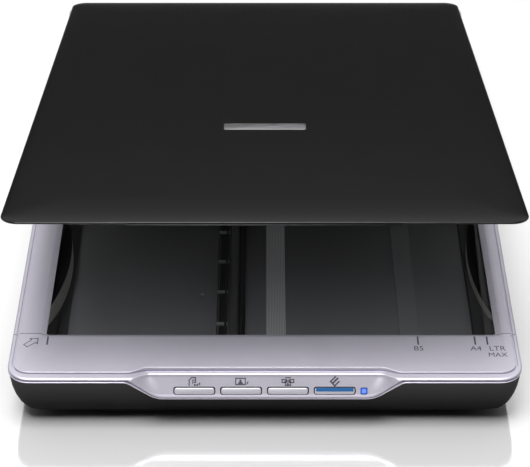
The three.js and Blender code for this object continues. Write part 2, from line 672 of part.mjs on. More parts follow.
function electronics() {
  const group = new THREE.Group();
  const { x0, x1, y0, y1, bottom, top } = MAIN_BOARD;
  group.add(part('main_board', box(x0, x1, y0, y1, bottom, top), finishes.boardGreen));
  group.add(part('controller_chip', box(26, 38, y0 + 3, y0 + 13, top + 0.1, top + 1.3), finishes.chip));
  const connector = box(RIBBON.x0 - 1.5, RIBBON.x1 + 1.5, 161, 164.5, top + 0.1, 13.2);
  group.add(part('ribbon_connector', connector, finishes.white));
  group.add(part('usb_socket', usbSocket(), finishes.steel));
  group.add(part('floor_ribbon', floorRibbon(), finishes.white));
  return group;
}

function usbSocket() {
  const { x0, x1, y0, y1, bottom, top } = USB;
  const mouth = box(x0 + 0.4, x1 - 0.4, y0 + 1, y1 + 1, bottom + 0.4, top - 0.4);
  const tongue = box(x0 + 1.6, x1 - 1.6, y0 + 0.5, y1 - 1, 12.2, 12.8);
  return join(cut(box(x0, x1, y0, y1, bottom, top), mouth), tongue);
}

function drive() {
  const group = new THREE.Group();
  const spring = coilSpring(1.3, 0.22, 2.3, 3).rotateX(Math.PI / 2);
  spring.translate(RAIL.x, IDLER_Y - 5.1, 7.2);
  group.add(part('guide_rail', guideRail(), finishes.steel));
  group.add(part('drive_belt', driveBelt(), finishes.belt));
  group.add(part('idler_pulley', idlerPulley(), finishes.nylon));
  group.add(part('idler_bracket', idlerBracket(), finishes.steel));
  group.add(part('belt_spring', spring, finishes.steel));
  group.add(part('drive_gear', driveGear(), finishes.nylon));
  group.add(part('motor_pinion', motorPinion(), finishes.steel));
  group.add(part('stepper_motor', stepperMotor(), finishes.steel));
  return group;
}

function carriage() {
  const group = new THREE.Group();
  const { lens, light, window } = sensorPieces();
  group.add(part('carriage_sled', sled(), finishes.darkPlastic));
  group.add(part('belt_clamp', beltClamp(), finishes.darkPlastic));
  group.add(part('sensor_housing', sensorHousing(), finishes.darkPlastic));
  group.add(part('sensor_window', window, finishes.glass));
  group.add(part('lens_array', lens, finishes.chip));
  group.add(part('light_guide', light, finishes.white));
  group.add(part('spacer_left', glassSpacer(SENSOR.x0, SENSOR.x0 + 3.6), finishes.nylon));
  group.add(part('spacer_right', glassSpacer(SENSOR.x1 - 3.6, SENSOR.x1), finishes.nylon));
  group.add(part('ribbon_loop', ribbonLoop(), finishes.white));
  for (const [x, word] of [[-80, 'left'], [86, 'right']]) {
    const spring = coilSpring(2, 0.3, 2.9, 3);
    spring.translate(x, (SENSOR.y0 + SENSOR.y1) / 2, CARRIAGE.sledTop + GAP);
    group.add(part(`lift_spring_${word}`, spring, finishes.steel));
  }
  return group;
}

function hingeArms() {
  const group = new THREE.Group();
  group.add(part('hinge_arm_left', hingeArm(-1), finishes.darkPlastic));
  group.add(part('hinge_arm_right', hingeArm(1), finishes.darkPlastic));
  return group;
}

// The lid's pieces are laid out shut, shifted so that the hinge axis is the group's own origin.
function lid() {
  const group = new THREE.Group();
  group.position.set(0, HINGE.y, HINGE.z);
  group.rotation.x = -OPEN_ANGLE;
  const shut = new THREE.Group();
  shut.position.set(0, -HINGE.y, -HINGE.z);
  group.add(shut);
  shut.add(part('lid_shell', lidShell(), finishes.lidBlack));
  shut.add(part('lid_inner_cover', lidInnerCover(), finishes.caseBlack));
  shut.add(part('mat_foam', matLayer(MAT_FOAM), finishes.foam));
  shut.add(part('mat_sheet', matLayer(MAT_SHEET), finishes.white));
  shut.add(part('nameplate', nameplate(), finishes.nameplate));
  for (const [side, word] of [[-1, 'left'], [1, 'right']]) {
    const middle = side * HINGE.x;
    const pin = alongX(HINGE.y, HINGE.z, HINGE.pin, middle - 9.2, middle + 9.2, 16);
    shut.add(part(`hinge_pin_${word}`, pin, finishes.steel));
  }
  return group;
}

const scanner = new THREE.Group();
scanner.add(casing(), buttonPanel(), electronics(), drive(), carriage(), hingeArms(), lid());

export default scanner;
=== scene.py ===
"""Slim flatbed scanner with its lid raised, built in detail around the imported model.

Shapes are drawn in millimetres in the object's own frame (+Z up, +Y towards the hinges) and turned
into metres when they become pieces. The lid is drawn shut and then turned open about its hinge pins.
"""

import math

import bmesh
import bpy
from mathutils import Matrix, Vector

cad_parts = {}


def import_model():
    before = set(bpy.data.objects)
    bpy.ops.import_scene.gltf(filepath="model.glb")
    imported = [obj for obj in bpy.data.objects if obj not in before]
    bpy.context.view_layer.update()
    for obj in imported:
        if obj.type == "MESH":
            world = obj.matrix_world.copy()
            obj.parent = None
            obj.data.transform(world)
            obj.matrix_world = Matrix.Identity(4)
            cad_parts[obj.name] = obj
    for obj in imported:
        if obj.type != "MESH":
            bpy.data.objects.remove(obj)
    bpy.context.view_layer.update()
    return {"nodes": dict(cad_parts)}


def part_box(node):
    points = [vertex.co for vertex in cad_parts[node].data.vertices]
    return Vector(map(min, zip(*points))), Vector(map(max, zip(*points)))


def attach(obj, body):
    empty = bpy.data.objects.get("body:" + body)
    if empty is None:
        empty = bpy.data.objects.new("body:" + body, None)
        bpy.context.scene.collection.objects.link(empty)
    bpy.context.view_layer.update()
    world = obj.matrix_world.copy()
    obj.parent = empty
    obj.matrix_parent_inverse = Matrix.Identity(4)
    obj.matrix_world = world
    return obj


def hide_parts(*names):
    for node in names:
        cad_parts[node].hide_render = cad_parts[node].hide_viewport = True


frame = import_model()
MM = 0.001


def box_mm(node):
    """A CAD node's lowest and highest corners, in millimetres."""
    return [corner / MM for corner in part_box(node)]


# ------------------------ driving dimensions

FRAME_LOW, FRAME_HIGH = box_mm("upper_frame")
COVER_HIGH = box_mm("front_cover")[1]
GLASS_LOW, GLASS_HIGH = box_mm("platen_glass")

SIDE = FRAME_HIGH.x
BACK = FRAME_HIGH.y
RIM_FRONT = -181.1
CORNER = 11.0
SEAM_Y = (FRAME_LOW.y + COVER_HIGH.y) / 2
SEAM_GAP = 0.4
PLATEAU_Z = FRAME_HIGH.z
WINDOW = {"x0": -108.1, "x1": 114.0, "y0": -147.0, "y1": 153.0, "corner": 1.5, "lip": 29.2, "bevel": 2.7}
OUTSIDE = 140  # past the case's sides, where cuts can end

HINGE = Vector((0, 170.0, 33.0))
ARM_X = 76.0
OPEN_ANGLE = math.radians(13.1)
LID_OPEN = (
    Matrix.Translation(HINGE) @ Matrix.Rotation(-OPEN_ANGLE, 4, "X") @ Matrix.Translation(-HINGE)
)

# The slanted panel, measured down its own face from its top edge.
PANEL_TOP = Vector((0, -175.5, 28.5))
PANEL_TILT = math.atan2(9.0, 6.5)
PANEL_FRAME = Matrix.Translation(PANEL_TOP) @ Matrix.Rotation(PANEL_TILT, 4, "X")
BUTTON = {"width": 19.3, "height": 3.1, "pitch": 22.57, "first": -34.0, "down": 8.2}
BUTTON_NAMES = ["document", "picture", "copy", "start"]
LAMP = {"x": 47.8, "side": 3.1}

RAIL_X = -16.3
FLOOR_Z = 4.0
FOOT_X, FOOT_Y = 92, 128
SCREW_X, SCREW_Y = 94, 163


# ------------------------ shapes in millimetres


class Shape:
    """Points and faces of one or more closed solids, with a tone (material number) for each face."""

    def __init__(self):
        self.points = []
        self.faces = []
        self.tones = []

    def add(self, points, faces, tone=0):
        start = len(self.points)
        self.points += [Vector(point) for point in points]
        self.faces += [[start + i for i in face] for face in faces]
        self.tones += [tone] * len(faces)
        return self

    def skin(self, loops, closed=False, tone=0):
        """Quads between loops of equal point counts, with the end loops capped unless closed."""
        count = len(loops[0])
        total = count * len(loops)
        faces = []
        for row in range(len(loops) if closed else len(loops) - 1):
            for i in range(count):
                a = row * count + i
                b = row * count + (i + 1) % count
                faces.append([a, b, (b + count) % total, (a + count) % total])
        if not closed:
            faces.append(list(range(count))[::-1])
            faces.append(list(range(total - count, total)))
        return self.add([point for loop in loops for point in loop], faces, tone)

    def box(self, x0, x1, y0, y1, z0, z1, tone=0):
        corners = [(x0, y0), (x1, y0), (x1, y1), (x0, y1)]
        return self.skin([[(x, y, z) for x, y in corners] for z in (z0, z1)], tone=tone)

    def plate(self, outline, z0, z1, tone=0):
        return self.skin([[(x, y, z) for x, y in outline] for z in (z0, z1)], tone=tone)

    def turned(self, profile, x, y, sides=40, tone=0):
        """A turned solid about +Z from [radius, height] points that start and end on the axis."""
        loops = [[(x + px, y + py, z) for px, py in circle(radius, sides)] for radius, z in profile]
        return self.skin(loops, tone=tone)

    def tube(self, path, radius, sides=8, tone=0):
        """A round wire along a path."""
        loops = []
        for i, point in enumerate(path):
            along = (path[min(i + 1, len(path) - 1)] - path[max(i - 1, 0)]).normalized()
            turn = along.to_track_quat("Z", "Y")
            section = [Vector((x, y, 0)) for x, y in circle(radius, sides)]
            loops.append([point + turn @ offset for offset in section])
        return self.skin(loops, tone=tone)

    def stroke(self, points, width, z0, z1, closed=False, tone=0):
        """Flat lines drawn through [x, y] points, as thin bars."""
        ends = list(zip(points, points[1:] + points[:1])) if closed else list(zip(points, points[1:]))
        for start, end in ends:
            a, b = Vector(start), Vector(end)
            along = (b - a).normalized() * width / 2
            across = Vector((-along.y, along.x))
            outline = [a - along - across, b + along - across, b + along + across, a - along + across]
            self.plate([tuple(p) for p in outline], z0, z1, tone)
        return self

    def moved(self, matrix):
        self.points = [matrix @ point for point in self.points]
        return self

    def join(self, other):
        start = len(self.points)
        self.points += other.points
        self.faces += [[start + i for i in face] for face in other.faces]
        self.tones += other.tones
        return self


def circle(radius, sides):
    angles = [2 * math.pi * i / sides for i in range(sides)]
    return [(radius * math.cos(a), radius * math.sin(a)) for a in angles]


def arc(cx, cy, rx, ry, start, end, steps):
    """Points on part of an ellipse, angles in degrees."""
    angles = [math.radians(start + (end - start) * i / steps) for i in range(steps + 1)]
    return [(cx + rx * math.cos(a), cy + ry * math.sin(a)) for a in angles]


def rounded(x0, x1, y0, y1, radius, steps=6):
    return (
        arc(x1 - radius, y0 + radius, radius, radius, -90, 0, steps)
        + arc(x1 - radius, y1 - radius, radius, radius, 0, 90, steps)
        + arc(x0 + radius, y1 - radius, radius, radius, 90, 180, steps)
        + arc(x0 + radius, y0 + radius, radius, radius, 180, 270, steps)
    )


def stacked(profile, outline):
    """A solid through level outlines: outline(inset) at a height, for each [inset, height]."""
    return Shape().skin([[(x, y, z) for x, y in outline(inset)] for inset, z in profile])


def ramp(x, outer, inner, soft=0.12):
    """0 outside outer and 1 inside inner, straight between, rounded off at both ends."""
    t = (outer - abs(x)) / (outer - inner)
    hard = 0.12
    if t < hard:
        return max(t + hard, 0.0) ** 2 / (4 * hard)
    if t < 1 - soft:
        return t
    return 1 - max(1 + soft - t, 0.0) ** 2 / (4 * soft)


def mix(a, b, t):
    return a + (b - a) * t


def between(profile, x):
    """Reads a list of [position, value] pairs, sorted by position, at x."""
    if x <= profile[0][0]:
        return profile[0][1]
    for (x0, v0), (x1, v1) in zip(profile, profile[1:]):
        if x <= x1:
            return mix(v0, v1, (x - x0) / (x1 - x0))
    return profile[-1][1]


# Places along the front edge where the shells have a column of points: close together where the
# rim turns into the tongue that holds the button panel.
COLUMNS = sorted(
    {-108.0, -90.0, -76.0, 76.0, 90.0, 108.0}
    | {side * (43.5 + 0.75 * i) for side in (-1, 1) for i in range(37)}
    | {8.0 * i for i in range(-5, 6)}
)
CORNER_STEPS = 12
COLUMN_REACH = 110


def ring(columns, x0, x1, y0, y1, rx, front_ry, back_ry, z):
    """A level outline with rounded corners and the shared columns of points along its front edge."""
    outline = [(column, y0) for column in columns]
    outline += arc(x1 - rx, y0 + front_ry, rx, front_ry, -90, 0, CORNER_STEPS)
    outline += arc(x1 - rx, y1 - back_ry, rx, back_ry, 0, 90, CORNER_STEPS)
    outline += arc(x0 + rx, y1 - back_ry, rx, back_ry, 90, 180, CORNER_STEPS)
    outline += arc(x0 + rx, y0 + front_ry, rx, front_ry, 180, 270, CORNER_STEPS)
    return [Vector((x, y, z)) for x, y in outline]


def base_loop(side, front, back, z):
    """The base outline drawn in by an inset on each side."""
    rx = max(CORNER - side, 3.0)
    front_ry = max(CORNER - front, 3.0)
    back_ry = max(CORNER - back, 3.0)
    x = SIDE - side
    reach = (x - rx) / (SIDE - CORNER)
    columns = [column * min(reach, 1.0) for column in COLUMNS]
    return ring(columns, -x, x, RIM_FRONT + front, BACK - back, rx, front_ry, back_ry, z)


def window_loop(grow, z):
    """The window's outline grown by a margin."""
    x0, x1 = WINDOW["x0"] - grow, WINDOW["x1"] + grow
    radius = WINDOW["corner"] + grow / 3
    span = (x1 - x0) / 2 - radius
    middle = (x0 + x1) / 2
    columns = [middle + span * column / COLUMN_REACH for column in COLUMNS]
    return ring(columns, x0, x1, WINDOW["y0"] - grow, WINDOW["y1"] + grow, radius, radius, radius, z)


# ------------------------ materials


class Nodes:
    """A material's node tree, with short calls for the nodes that the finishes share."""

    def __init__(self, name):
        self.material = bpy.data.materials.new(name)
        self.material.use_nodes = True
        self.tree = self.material.node_tree
        self.shader = self.tree.nodes["Principled BSDF"]
        self.coords = self.tree.nodes.new("ShaderNodeTexCoord").outputs["Object"]

    def new(self, kind, **inputs):
        node = self.tree.nodes.new(kind)
        for name, value in inputs.items():
            self.feed(node.inputs[name.replace("_", " ")], value)
        return node

    def feed(self, socket, value):
        if isinstance(value, bpy.types.NodeSocket):
            self.tree.links.new(value, socket)
        else:
            socket.default_value = value

    def noise(self, scale, detail=2.0, stretch=(1, 1, 1)):
        mapping = self.new("ShaderNodeMapping", Vector=self.coords, Scale=stretch)
        return self.new(
            "ShaderNodeTexNoise", Vector=mapping.outputs[0], Scale=scale, Detail=detail
        ).outputs["Fac"]

    def rescale(self, value, start, end, low, high):
        limits = {"From_Min": start, "From_Max": end, "To_Min": low, "To_Max": high}
        return self.new("ShaderNodeMapRange", Value=value, **limits).outputs[0]

    def spread(self, value, low, high):
        """Stretches a noise's middle range over low to high."""
        return self.rescale(value, 0.3, 0.7, low, high)

    def tint(self, factor, first, second):
        node = self.tree.nodes.new("ShaderNodeMix")
        node.data_type = "RGBA"
        self.feed(node.inputs["Factor"], factor)
        self.feed(node.inputs["A"], first)
        self.feed(node.inputs["B"], second)
        return node.outputs["Result"]

    def fade(self, tone, axis, start, end, factor):
        """Paints shade into a tone: darkens it by the factor from one place along an axis (in millimetres)
        to another.
        """
        along = self.new("ShaderNodeSeparateXYZ", Vector=self.coords).outputs[axis]
        kept = self.rescale(along, start * MM, end * MM, 1.0, factor)
        return self.tint(kept, rgb(0, 0, 0), tone)

    def bump(self, height, strength, distance=0.0001):
        node = self.new("ShaderNodeBump", Height=height, Strength=strength, Distance=distance)
        self.feed(self.shader.inputs["Normal"], node.outputs[0])

    def set(self, **inputs):
        for name, value in inputs.items():
            self.feed(self.shader.inputs[name.replace("_", " ")], value)
        return self.material


def rgb(r, g, b):
    """A linear colour."""
    return (r, g, b, 1.0)


def shade(colour, factor):
    return rgb(*[min(channel * factor, 1.0) for channel in colour[:3]])


def moulded(
    name, colour, roughness, grain=2200, depth=0.25, gloss=0.5, metallic=0.0, fade=None, drift=0.03
):
    """Moulded or painted plastic: fine grain, a slow drift in tone, uneven gloss and, where given, painted
    shade along one axis.
    """
    n = Nodes(name)
    slow = n.noise(14, 3)
    fine = n.noise(grain, 2)
    n.bump(fine, depth)
    tone = n.tint(n.spread(slow, 0, 1), shade(colour, 0.94), shade(colour, 1.06))
    grain_and_painted_shade = n.tint(n.spread(fine, 0, 1), tone, shade(colour, 1.03))
    # Painted shade: the tone darkens along one axis, standing in for light that falls off there.
    if fade:
        grain_and_painted_shade = n.fade(grain_and_painted_shade, *fade)
    return n.set(
        Base_Color=grain_and_painted_shade,
        Roughness=n.spread(n.noise(60, 4), roughness - drift, roughness + drift),
        Metallic=metallic,
        Specular_IOR_Level=gloss,
    )


def brushed(name, colour, roughness, along=(1, 40, 40)):
    """Metal with fine lines running one way."""
    n = Nodes(name)
    lines = n.noise(120, 4, along)
    n.bump(lines, 0.12)
    return n.set(
        Base_Color=n.tint(n.spread(lines, 0, 1), shade(colour, 0.88), shade(colour, 1.08)),
        Roughness=n.spread(lines, roughness - 0.05, roughness + 0.08),
        Metallic=1.0,
    )


def clear_pane():
    """Float glass: see-through, with a faint reflection that grows at a slant."""
    n = Nodes("float_glass")
    tree = n.tree
    see = n.new("ShaderNodeBsdfTransparent", Color=rgb(0.95, 0.955, 0.955))
    shine = n.new("ShaderNodeBsdfGlossy", Color=rgb(1, 1, 1), Roughness=0.02)
    slant = n.new("ShaderNodeFresnel", IOR=1.12)
    both = n.new("ShaderNodeMixShader", Fac=slant.outputs[0])
    tree.links.new(see.outputs[0], both.inputs[1])
    tree.links.new(shine.outputs[0], both.inputs[2])
    tree.links.new(both.outputs[0], tree.nodes["Material Output"].inputs["Surface"])
    return n.material


def glowing(name, colour, strength):
    """A lit lens."""
    n = Nodes(name)
    soft = n.noise(900, 2)
    return n.set(
        Base_Color=n.tint(soft, shade(colour, 0.8), colour),
        Roughness=0.25,
        Emission_Color=n.tint(soft, shade(colour, 0.9), colour),
        Emission_Strength=strength,
    )


def striped(name, dark, light, pitch):
    """Fine lines running along Y, as on a flat cable."""
    n = Nodes(name)
    wave = n.new("ShaderNodeTexWave", Vector=n.coords, Scale=math.pi / (10 * pitch * MM))
    wave.bands_direction = "X"
    n.bump(wave.outputs["Fac"], 0.3)
    tone = n.tint(wave.outputs["Fac"], dark, light)
    return n.set(Base_Color=tone, Roughness=n.spread(n.noise(300), 0.38, 0.48))


SILVER = moulded("silver_paint", rgb(0.57, 0.55, 0.63), 0.42, grain=4200, depth=0.12, metallic=0.55)
KEY_SILVER = moulded("key_paint", rgb(0.54, 0.53, 0.585), 0.38, grain=4200, depth=0.1, metallic=0.35)
KEY_BLUE = moulded("key_blue", rgb(0.02, 0.11, 0.30), 0.3, grain=4200, depth=0.05)
# Painted shade: the case's black darkens towards its foot, to 0.13 of its tone at 9 mm, where the floor's
# shadow falls.
CASE_BLACK = moulded(
    "case_black",
    rgb(0.046, 0.045, 0.047),
    0.6,
    grain=1600,
    depth=0.35,
    gloss=0.03,
    fade=("Z", 26, 9, 0.13),
)
LID_BLACK = moulded(
    "lid_black", rgb(0.0014, 0.0014, 0.0014), 0.22, grain=2600, depth=0.12, gloss=0.3, drift=0.006
)
# Painted shade: the floor grey darkens towards the back, to 0.12 of its tone at Y 10 mm, where the raised
# lid shades the inside.
INNER_GREY = moulded(
    "floor_grey",
    rgb(0.205, 0.205, 0.217),
    0.6,
    grain=1500,
    depth=0.3,
    gloss=0.1,
    fade=("Y", -140, 10, 0.12),
)
# Painted highlight: the ladder's rungs are a lighter grey than the floor, standing in for the light they
# catch.
RUNG_PAINTED_HIGHLIGHT = moulded("rung_grey", rgb(0.42, 0.42, 0.42), 0.5, grain=1500, depth=0.2)
# Painted shade: the strip darkens towards the back, to 0.3 of its tone at Y 10 mm, as the floor does under
# the lid.
STRIP_GREY = moulded(
    "strip_grey",
    rgb(0.22, 0.22, 0.232),
    0.5,
    grain=1500,
    depth=0.3,
    gloss=0.15,
    fade=("Y", -140, 10, 0.3),
)
GUTTER_GREY = moulded("gutter_grey", rgb(0.06, 0.06, 0.063), 0.6, grain=1500, depth=0.3, gloss=0.1)
# Painted light: a light grey for the grips' upright walls, standing in for the light that reaches them.
GRIP_PAINTED_LIGHT = moulded("grip_grey", rgb(0.55, 0.55, 0.50), 0.5, grain=1500, depth=0.3, gloss=0.3)
INNER_BLACK = moulded("inner_black", rgb(0.016, 0.016, 0.017), 0.7, grain=1500, depth=0.3, gloss=0.05)
INK = moulded("printed_ink", rgb(0.055, 0.055, 0.07), 0.5, grain=6000, depth=0.05)
WHITE_PLASTIC = moulded("white_plastic", rgb(0.78, 0.78, 0.76), 0.5, grain=1800, depth=0.15)
MAT_WHITE = moulded("mat_film", rgb(0.84, 0.84, 0.83), 0.32, grain=900, depth=0.08)
NYLON = moulded("nylon", rgb(0.70, 0.68, 0.60), 0.45, grain=1200, depth=0.15)
RAIL_GREY = brushed("rail_steel", rgb(0.16, 0.16, 0.165), 0.42, along=(40, 1, 40))
RUBBER = moulded("foot_rubber", rgb(0.02, 0.02, 0.02), 0.85, grain=1400, depth=0.5, gloss=0.2)
BOARD_GREEN = moulded("solder_mask", rgb(0.015, 0.11, 0.05), 0.35, grain=800, depth=0.1)
CHIP_BLACK = moulded("epoxy", rgb(0.012, 0.012, 0.012), 0.55, grain=2500, depth=0.3)
STEEL = brushed("zinc_steel", rgb(0.55, 0.56, 0.57), 0.32, along=(40, 1, 40))
BADGE = brushed("badge_metal", rgb(0.62, 0.62, 0.64), 0.28)
LAMP_BLUE = glowing("lamp_core", rgb(0.10, 0.20, 1.0), 0.75)
LAMP_EDGE = moulded("lamp_edge", rgb(0.02, 0.07, 0.42), 0.3)
PANE = clear_pane()
FLAT_CABLE = striped("flat_cable", rgb(0.30, 0.30, 0.305), rgb(0.56, 0.56, 0.57), 0.84)


def foam_material():
    n = Nodes("open_foam")
    cells = n.new("ShaderNodeTexVoronoi", Vector=n.coords, Scale=1100)
    n.bump(cells.outputs["Distance"], 0.8, 0.0003)
    tone = n.tint(cells.outputs["Distance"], rgb(0.16, 0.16, 0.155), rgb(0.34, 0.34, 0.33))
    return n.set(Base_Color=tone, Roughness=0.95, Specular_IOR_Level=0.15)


def belt_material():
    n = Nodes("belt_rubber")
    weave = n.noise(900, 3, (1, 3, 1))
    n.bump(weave, 0.5)
    tone = n.tint(weave, rgb(0.008, 0.008, 0.008), rgb(0.022, 0.022, 0.022))
    return n.set(Base_Color=tone, Roughness=0.8, Specular_IOR_Level=0.25)


FOAM = foam_material()
BELT_RUBBER = belt_material()


# ------------------------ pieces


def raw(name, shape):
    """The shape as a bare object in metres, with its faces pointing out."""
    mesh = bpy.data.meshes.new(name)
    mesh.from_pydata([point * MM for point in shape.points], [], shape.faces)
    mesh.polygons.foreach_set("material_index", shape.tones)
    bm = bmesh.new()
    bm.from_mesh(mesh)
    bmesh.ops.remove_doubles(bm, verts=bm.verts, dist=1e-7)
    bmesh.ops.recalc_face_normals(bm, faces=bm.faces)
    bm.to_mesh(mesh)
    bm.free()
    piece = bpy.data.objects.new(name, mesh)
    bpy.context.scene.collection.objects.link(piece)
    return piece


def settle(piece):
    """Applies a piece's modifiers to its mesh."""
    bpy.context.view_layer.update()
    graph = bpy.context.evaluated_depsgraph_get()
    made = bpy.data.meshes.new_from_object(piece.evaluated_get(graph))
    piece.modifiers.clear()
    piece.data = made


def carve(piece, shape, how="DIFFERENCE"):
    """Cuts the shape out of the piece, or with INTERSECT keeps only what lies inside the shape."""
    tool = raw("tool", shape)
    modifier = piece.modifiers.new("carve", "BOOLEAN")
    modifier.operation = how
    modifier.solver = "EXACT"
    modifier.object = tool
    settle(piece)
    bpy.data.objects.remove(tool)


def finished(piece, body, slot, materials, replaces="", bevel=0.0, sharp=32.0):
    """Gives a piece its shading, edges and materials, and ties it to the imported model."""
    mesh = piece.data
    mesh.polygons.foreach_set("use_smooth", [True] * len(mesh.polygons))
    mesh.set_sharp_from_angle(angle=math.radians(sharp))
    for material in materials if isinstance(materials, list) else [materials]:
        mesh.materials.append(material)
    if bevel:
        soften(piece, bevel, sharp)
    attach(piece, body)
    if replaces:
        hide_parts(replaces)
    return piece


def soften(piece, width, angle=32.0):
    """Rounds the edges that are sharper than the angle, with a modifier."""
    modifier = piece.modifiers.new("soften", "BEVEL")
    modifier.width = width * MM
    modifier.segments = 2
    modifier.limit_method = "ANGLE"
    modifier.angle_limit = math.radians(angle)
    modifier.harden_normals = True
    modifier.use_clamp_overlap = True


def make(name, shape, body, slot, materials, **options):
    return finished(raw(name, shape), body, slot, materials, **options)


# ------------------------ top shell

# One line of the shell's cross-section each: inset at the sides, then Y and Z at the rim's front,
# then Y and Z on the tongue, then which of the ramps carries the rim into the tongue.
LOWER_RAMP = (66.8, 52.8)
UPPER_RAMP = (63.8, 56.6)
EDGE_RAMP = (64.8, 57.6)
SHELL_LINES = [
    (7.0, -173.5, 28.9, -169.5, 28.9, EDGE_RAMP),
    (2.6, -178.4, 28.6, -174.0, 27.3, UPPER_RAMP),
    (2.6, -178.4, 27.4, -179.9, 18.1, LOWER_RAMP),
    (0.3, -180.7, 27.4, -181.6, 17.85, LOWER_RAMP),
    (0.1, -180.95, 27.45, -181.85, 17.95, LOWER_RAMP),
    (0.1, -180.95, 27.75, -181.85, 18.35, LOWER_RAMP),
    (0.3, -180.75, 27.88, -181.65, 18.48, LOWER_RAMP),
    (1.6, -179.5, 27.92, -180.9, 18.52, LOWER_RAMP),
    (1.6, -179.5, 28.4, -180.9, 18.95, LOWER_RAMP),
    (1.6, -179.5, 28.7, -181.9, 19.0, LOWER_RAMP),
    (1.4, -179.6, 28.85, -182.12, 19.15, LOWER_RAMP),
    (1.2, -179.75, 28.95, -182.15, 19.4, LOWER_RAMP),
    (0.95, -179.95, 29.0, -182.05, 19.6, LOWER_RAMP),
    (0.7, -180.2, 29.03, -181.5, 20.1, LOWER_RAMP),
]
FACE_ROWS = 9
LEDGE_LINES = [
    (0.15, -180.8, 29.08, -176.05, 27.74, UPPER_RAMP),
    (0.1, -180.88, 29.3, -175.9, 28.1, UPPER_RAMP),
    (0.35, -180.65, 29.62, -175.7, 28.42, UPPER_RAMP),
    (0.7, -180.2, 29.82, -175.42, 28.62, UPPER_RAMP),
    (1.1, -179.6, 29.92, -175.05, 28.7, UPPER_RAMP),
    (1.25, -179.4, 29.92, -174.85, 28.69, UPPER_RAMP),
    (1.9, -177.1, 29.92, -173.5, 28.72, EDGE_RAMP),
    (2.0, -176.98, 29.0, -173.35, 27.95, EDGE_RAMP),
    (2.95, -176.55, 29.0, -172.92, 27.95, EDGE_RAMP),
    (3.0, -176.5, 30.25, -172.87, 30.25, EDGE_RAMP),
    (3.08, -176.42, 30.42, -172.79, 30.42, EDGE_RAMP),
    (3.22, -176.28, 30.5, -172.65, 30.5, EDGE_RAMP),
    (3.4, -176.1, 30.5, -172.45, 30.5, EDGE_RAMP),
    (5.2, -174.4, 30.5, -170.6, 30.5, EDGE_RAMP),
]


def shell_loop(line, soft=0.25):
    """One line of the cross-section all the way round, let down on to the tongue by its ramp."""
    side, rim_y, rim_z, tongue_y, tongue_z, (outer, inner) = line
    loop = base_loop(side, rim_y - RIM_FRONT, side, rim_z)
    for point in loop[: len(COLUMNS)]:
        share = ramp(point.x, outer, inner, soft)
        point.y = mix(rim_y, tongue_y, share)
        point.z = mix(rim_z, tongue_z, share)
    return loop


def top_shell():
    """The whole silver top: rim and groove, the slanted face, the ledge and groove, the window."""
    lower = [shell_loop(line) for line in SHELL_LINES]
    upper = [shell_loop(line) for line in LEDGE_LINES]
    rows = []
    for row in range(1, FACE_ROWS + 1):
        share = row / (FACE_ROWS + 1)
        first, last = SHELL_LINES[-1], LEDGE_LINES[0]
        line = [mix(a, b, share) for a, b in zip(first[:5], last[:5])]
        outer, inner = [mix(a, b, share) for a, b in zip(first[5], last[5])]
        rows.append(shell_loop([*line, (outer, inner)], 0.25 + 0.12 * math.sin(math.pi * share)))
    bevel = WINDOW["bevel"]
    window = [
        window_loop(bevel + 0.35, PLATEAU_Z),
        window_loop(bevel - 0.15, PLATEAU_Z - 0.1),
        window_loop(0.25, WINDOW["lip"] + 0.12),
        window_loop(0.0, WINDOW["lip"]),
        window_loop(0.0, 28.9),
    ]
    return Shape().skin([*lower, *rows, *upper, *window], closed=True)


def button_centres():
    return [BUTTON["first"] + i * BUTTON["pitch"] for i in range(len(BUTTON_NAMES))]


def panel_hole(x, width, height, radius, above=0.0):
    """A hole through the slanted panel, in the row of the buttons."""
    y = -BUTTON["down"]
    outline = rounded(x - width / 2, x + width / 2, y - height / 2, y + height / 2 + above, radius)
    return Shape().plate(outline, -4, 2).moved(PANEL_FRAME)


def casing_top():
    """The top cut along its seam into the front cover and the frame, with their holes and slots."""
    cover = raw("front_cover_shell", top_shell())
    surround = raw("upper_frame_shell", top_shell())
    half = SEAM_GAP / 2
    carve(cover, Shape().box(-OUTSIDE, OUTSIDE, SEAM_Y - half, 200, 0, 60))
    carve(surround, Shape().box(-OUTSIDE, OUTSIDE, -200, SEAM_Y + half, 0, 60))
    holes = Shape()
    for x in button_centres():
        holes.join(panel_hole(x, BUTTON["width"] + 1.0, BUTTON["height"] + 0.5, 1.2, 0.3))
    holes.join(panel_hole(LAMP["x"], LAMP["side"] + 0.3, LAMP["side"] + 0.3, 0.6))
    carve(cover, holes)
    slots = Shape()
    for x in (-ARM_X, ARM_X):
        slots.plate(rounded(x - 6.1, x + 6.1, 164.2, 168.6, 0.8), 26, 32)
    carve(surround, slots)
    finished(cover, "base", "frame_silver", SILVER, replaces="front_cover", sharp=40)
    finished(surround, "base", "frame_silver", SILVER, replaces="upper_frame", sharp=40)


# ------------------------ lower case

# How far the flank is drawn in at each height: the sides lean in more than the front.
SIDE_FLANK = [
    [6.0, 13.5], [7.0, 9.2], [8.5, 6.4], [11.0, 4.0], [15.0, 2.3], [19.5, 1.2], [24.0, 0.7], [27.2, 0.5],
]
FRONT_FLANK = [[6.0, 5.1], [10.0, 3.1], [18.0, 1.1], [24.0, 0.5], [27.2, 0.35]]
FLANK_HEIGHTS = [
    6.0, 6.5, 7.0, 7.7, 8.5, 9.7, 11.0, 13.0, 15.0, 17.2, 19.5, 22.0, 24.0, 26.0, 27.0, 27.2,
]
CASE_TOP = 27.2
NOTCH_TOP = 17.6
NOTCH_RAMP = (67.0, 53.0)
WALL = 2.2
GUTTER_TOP = 12.0
PAN = {"x": 110, "y": 174, "corner": 35}


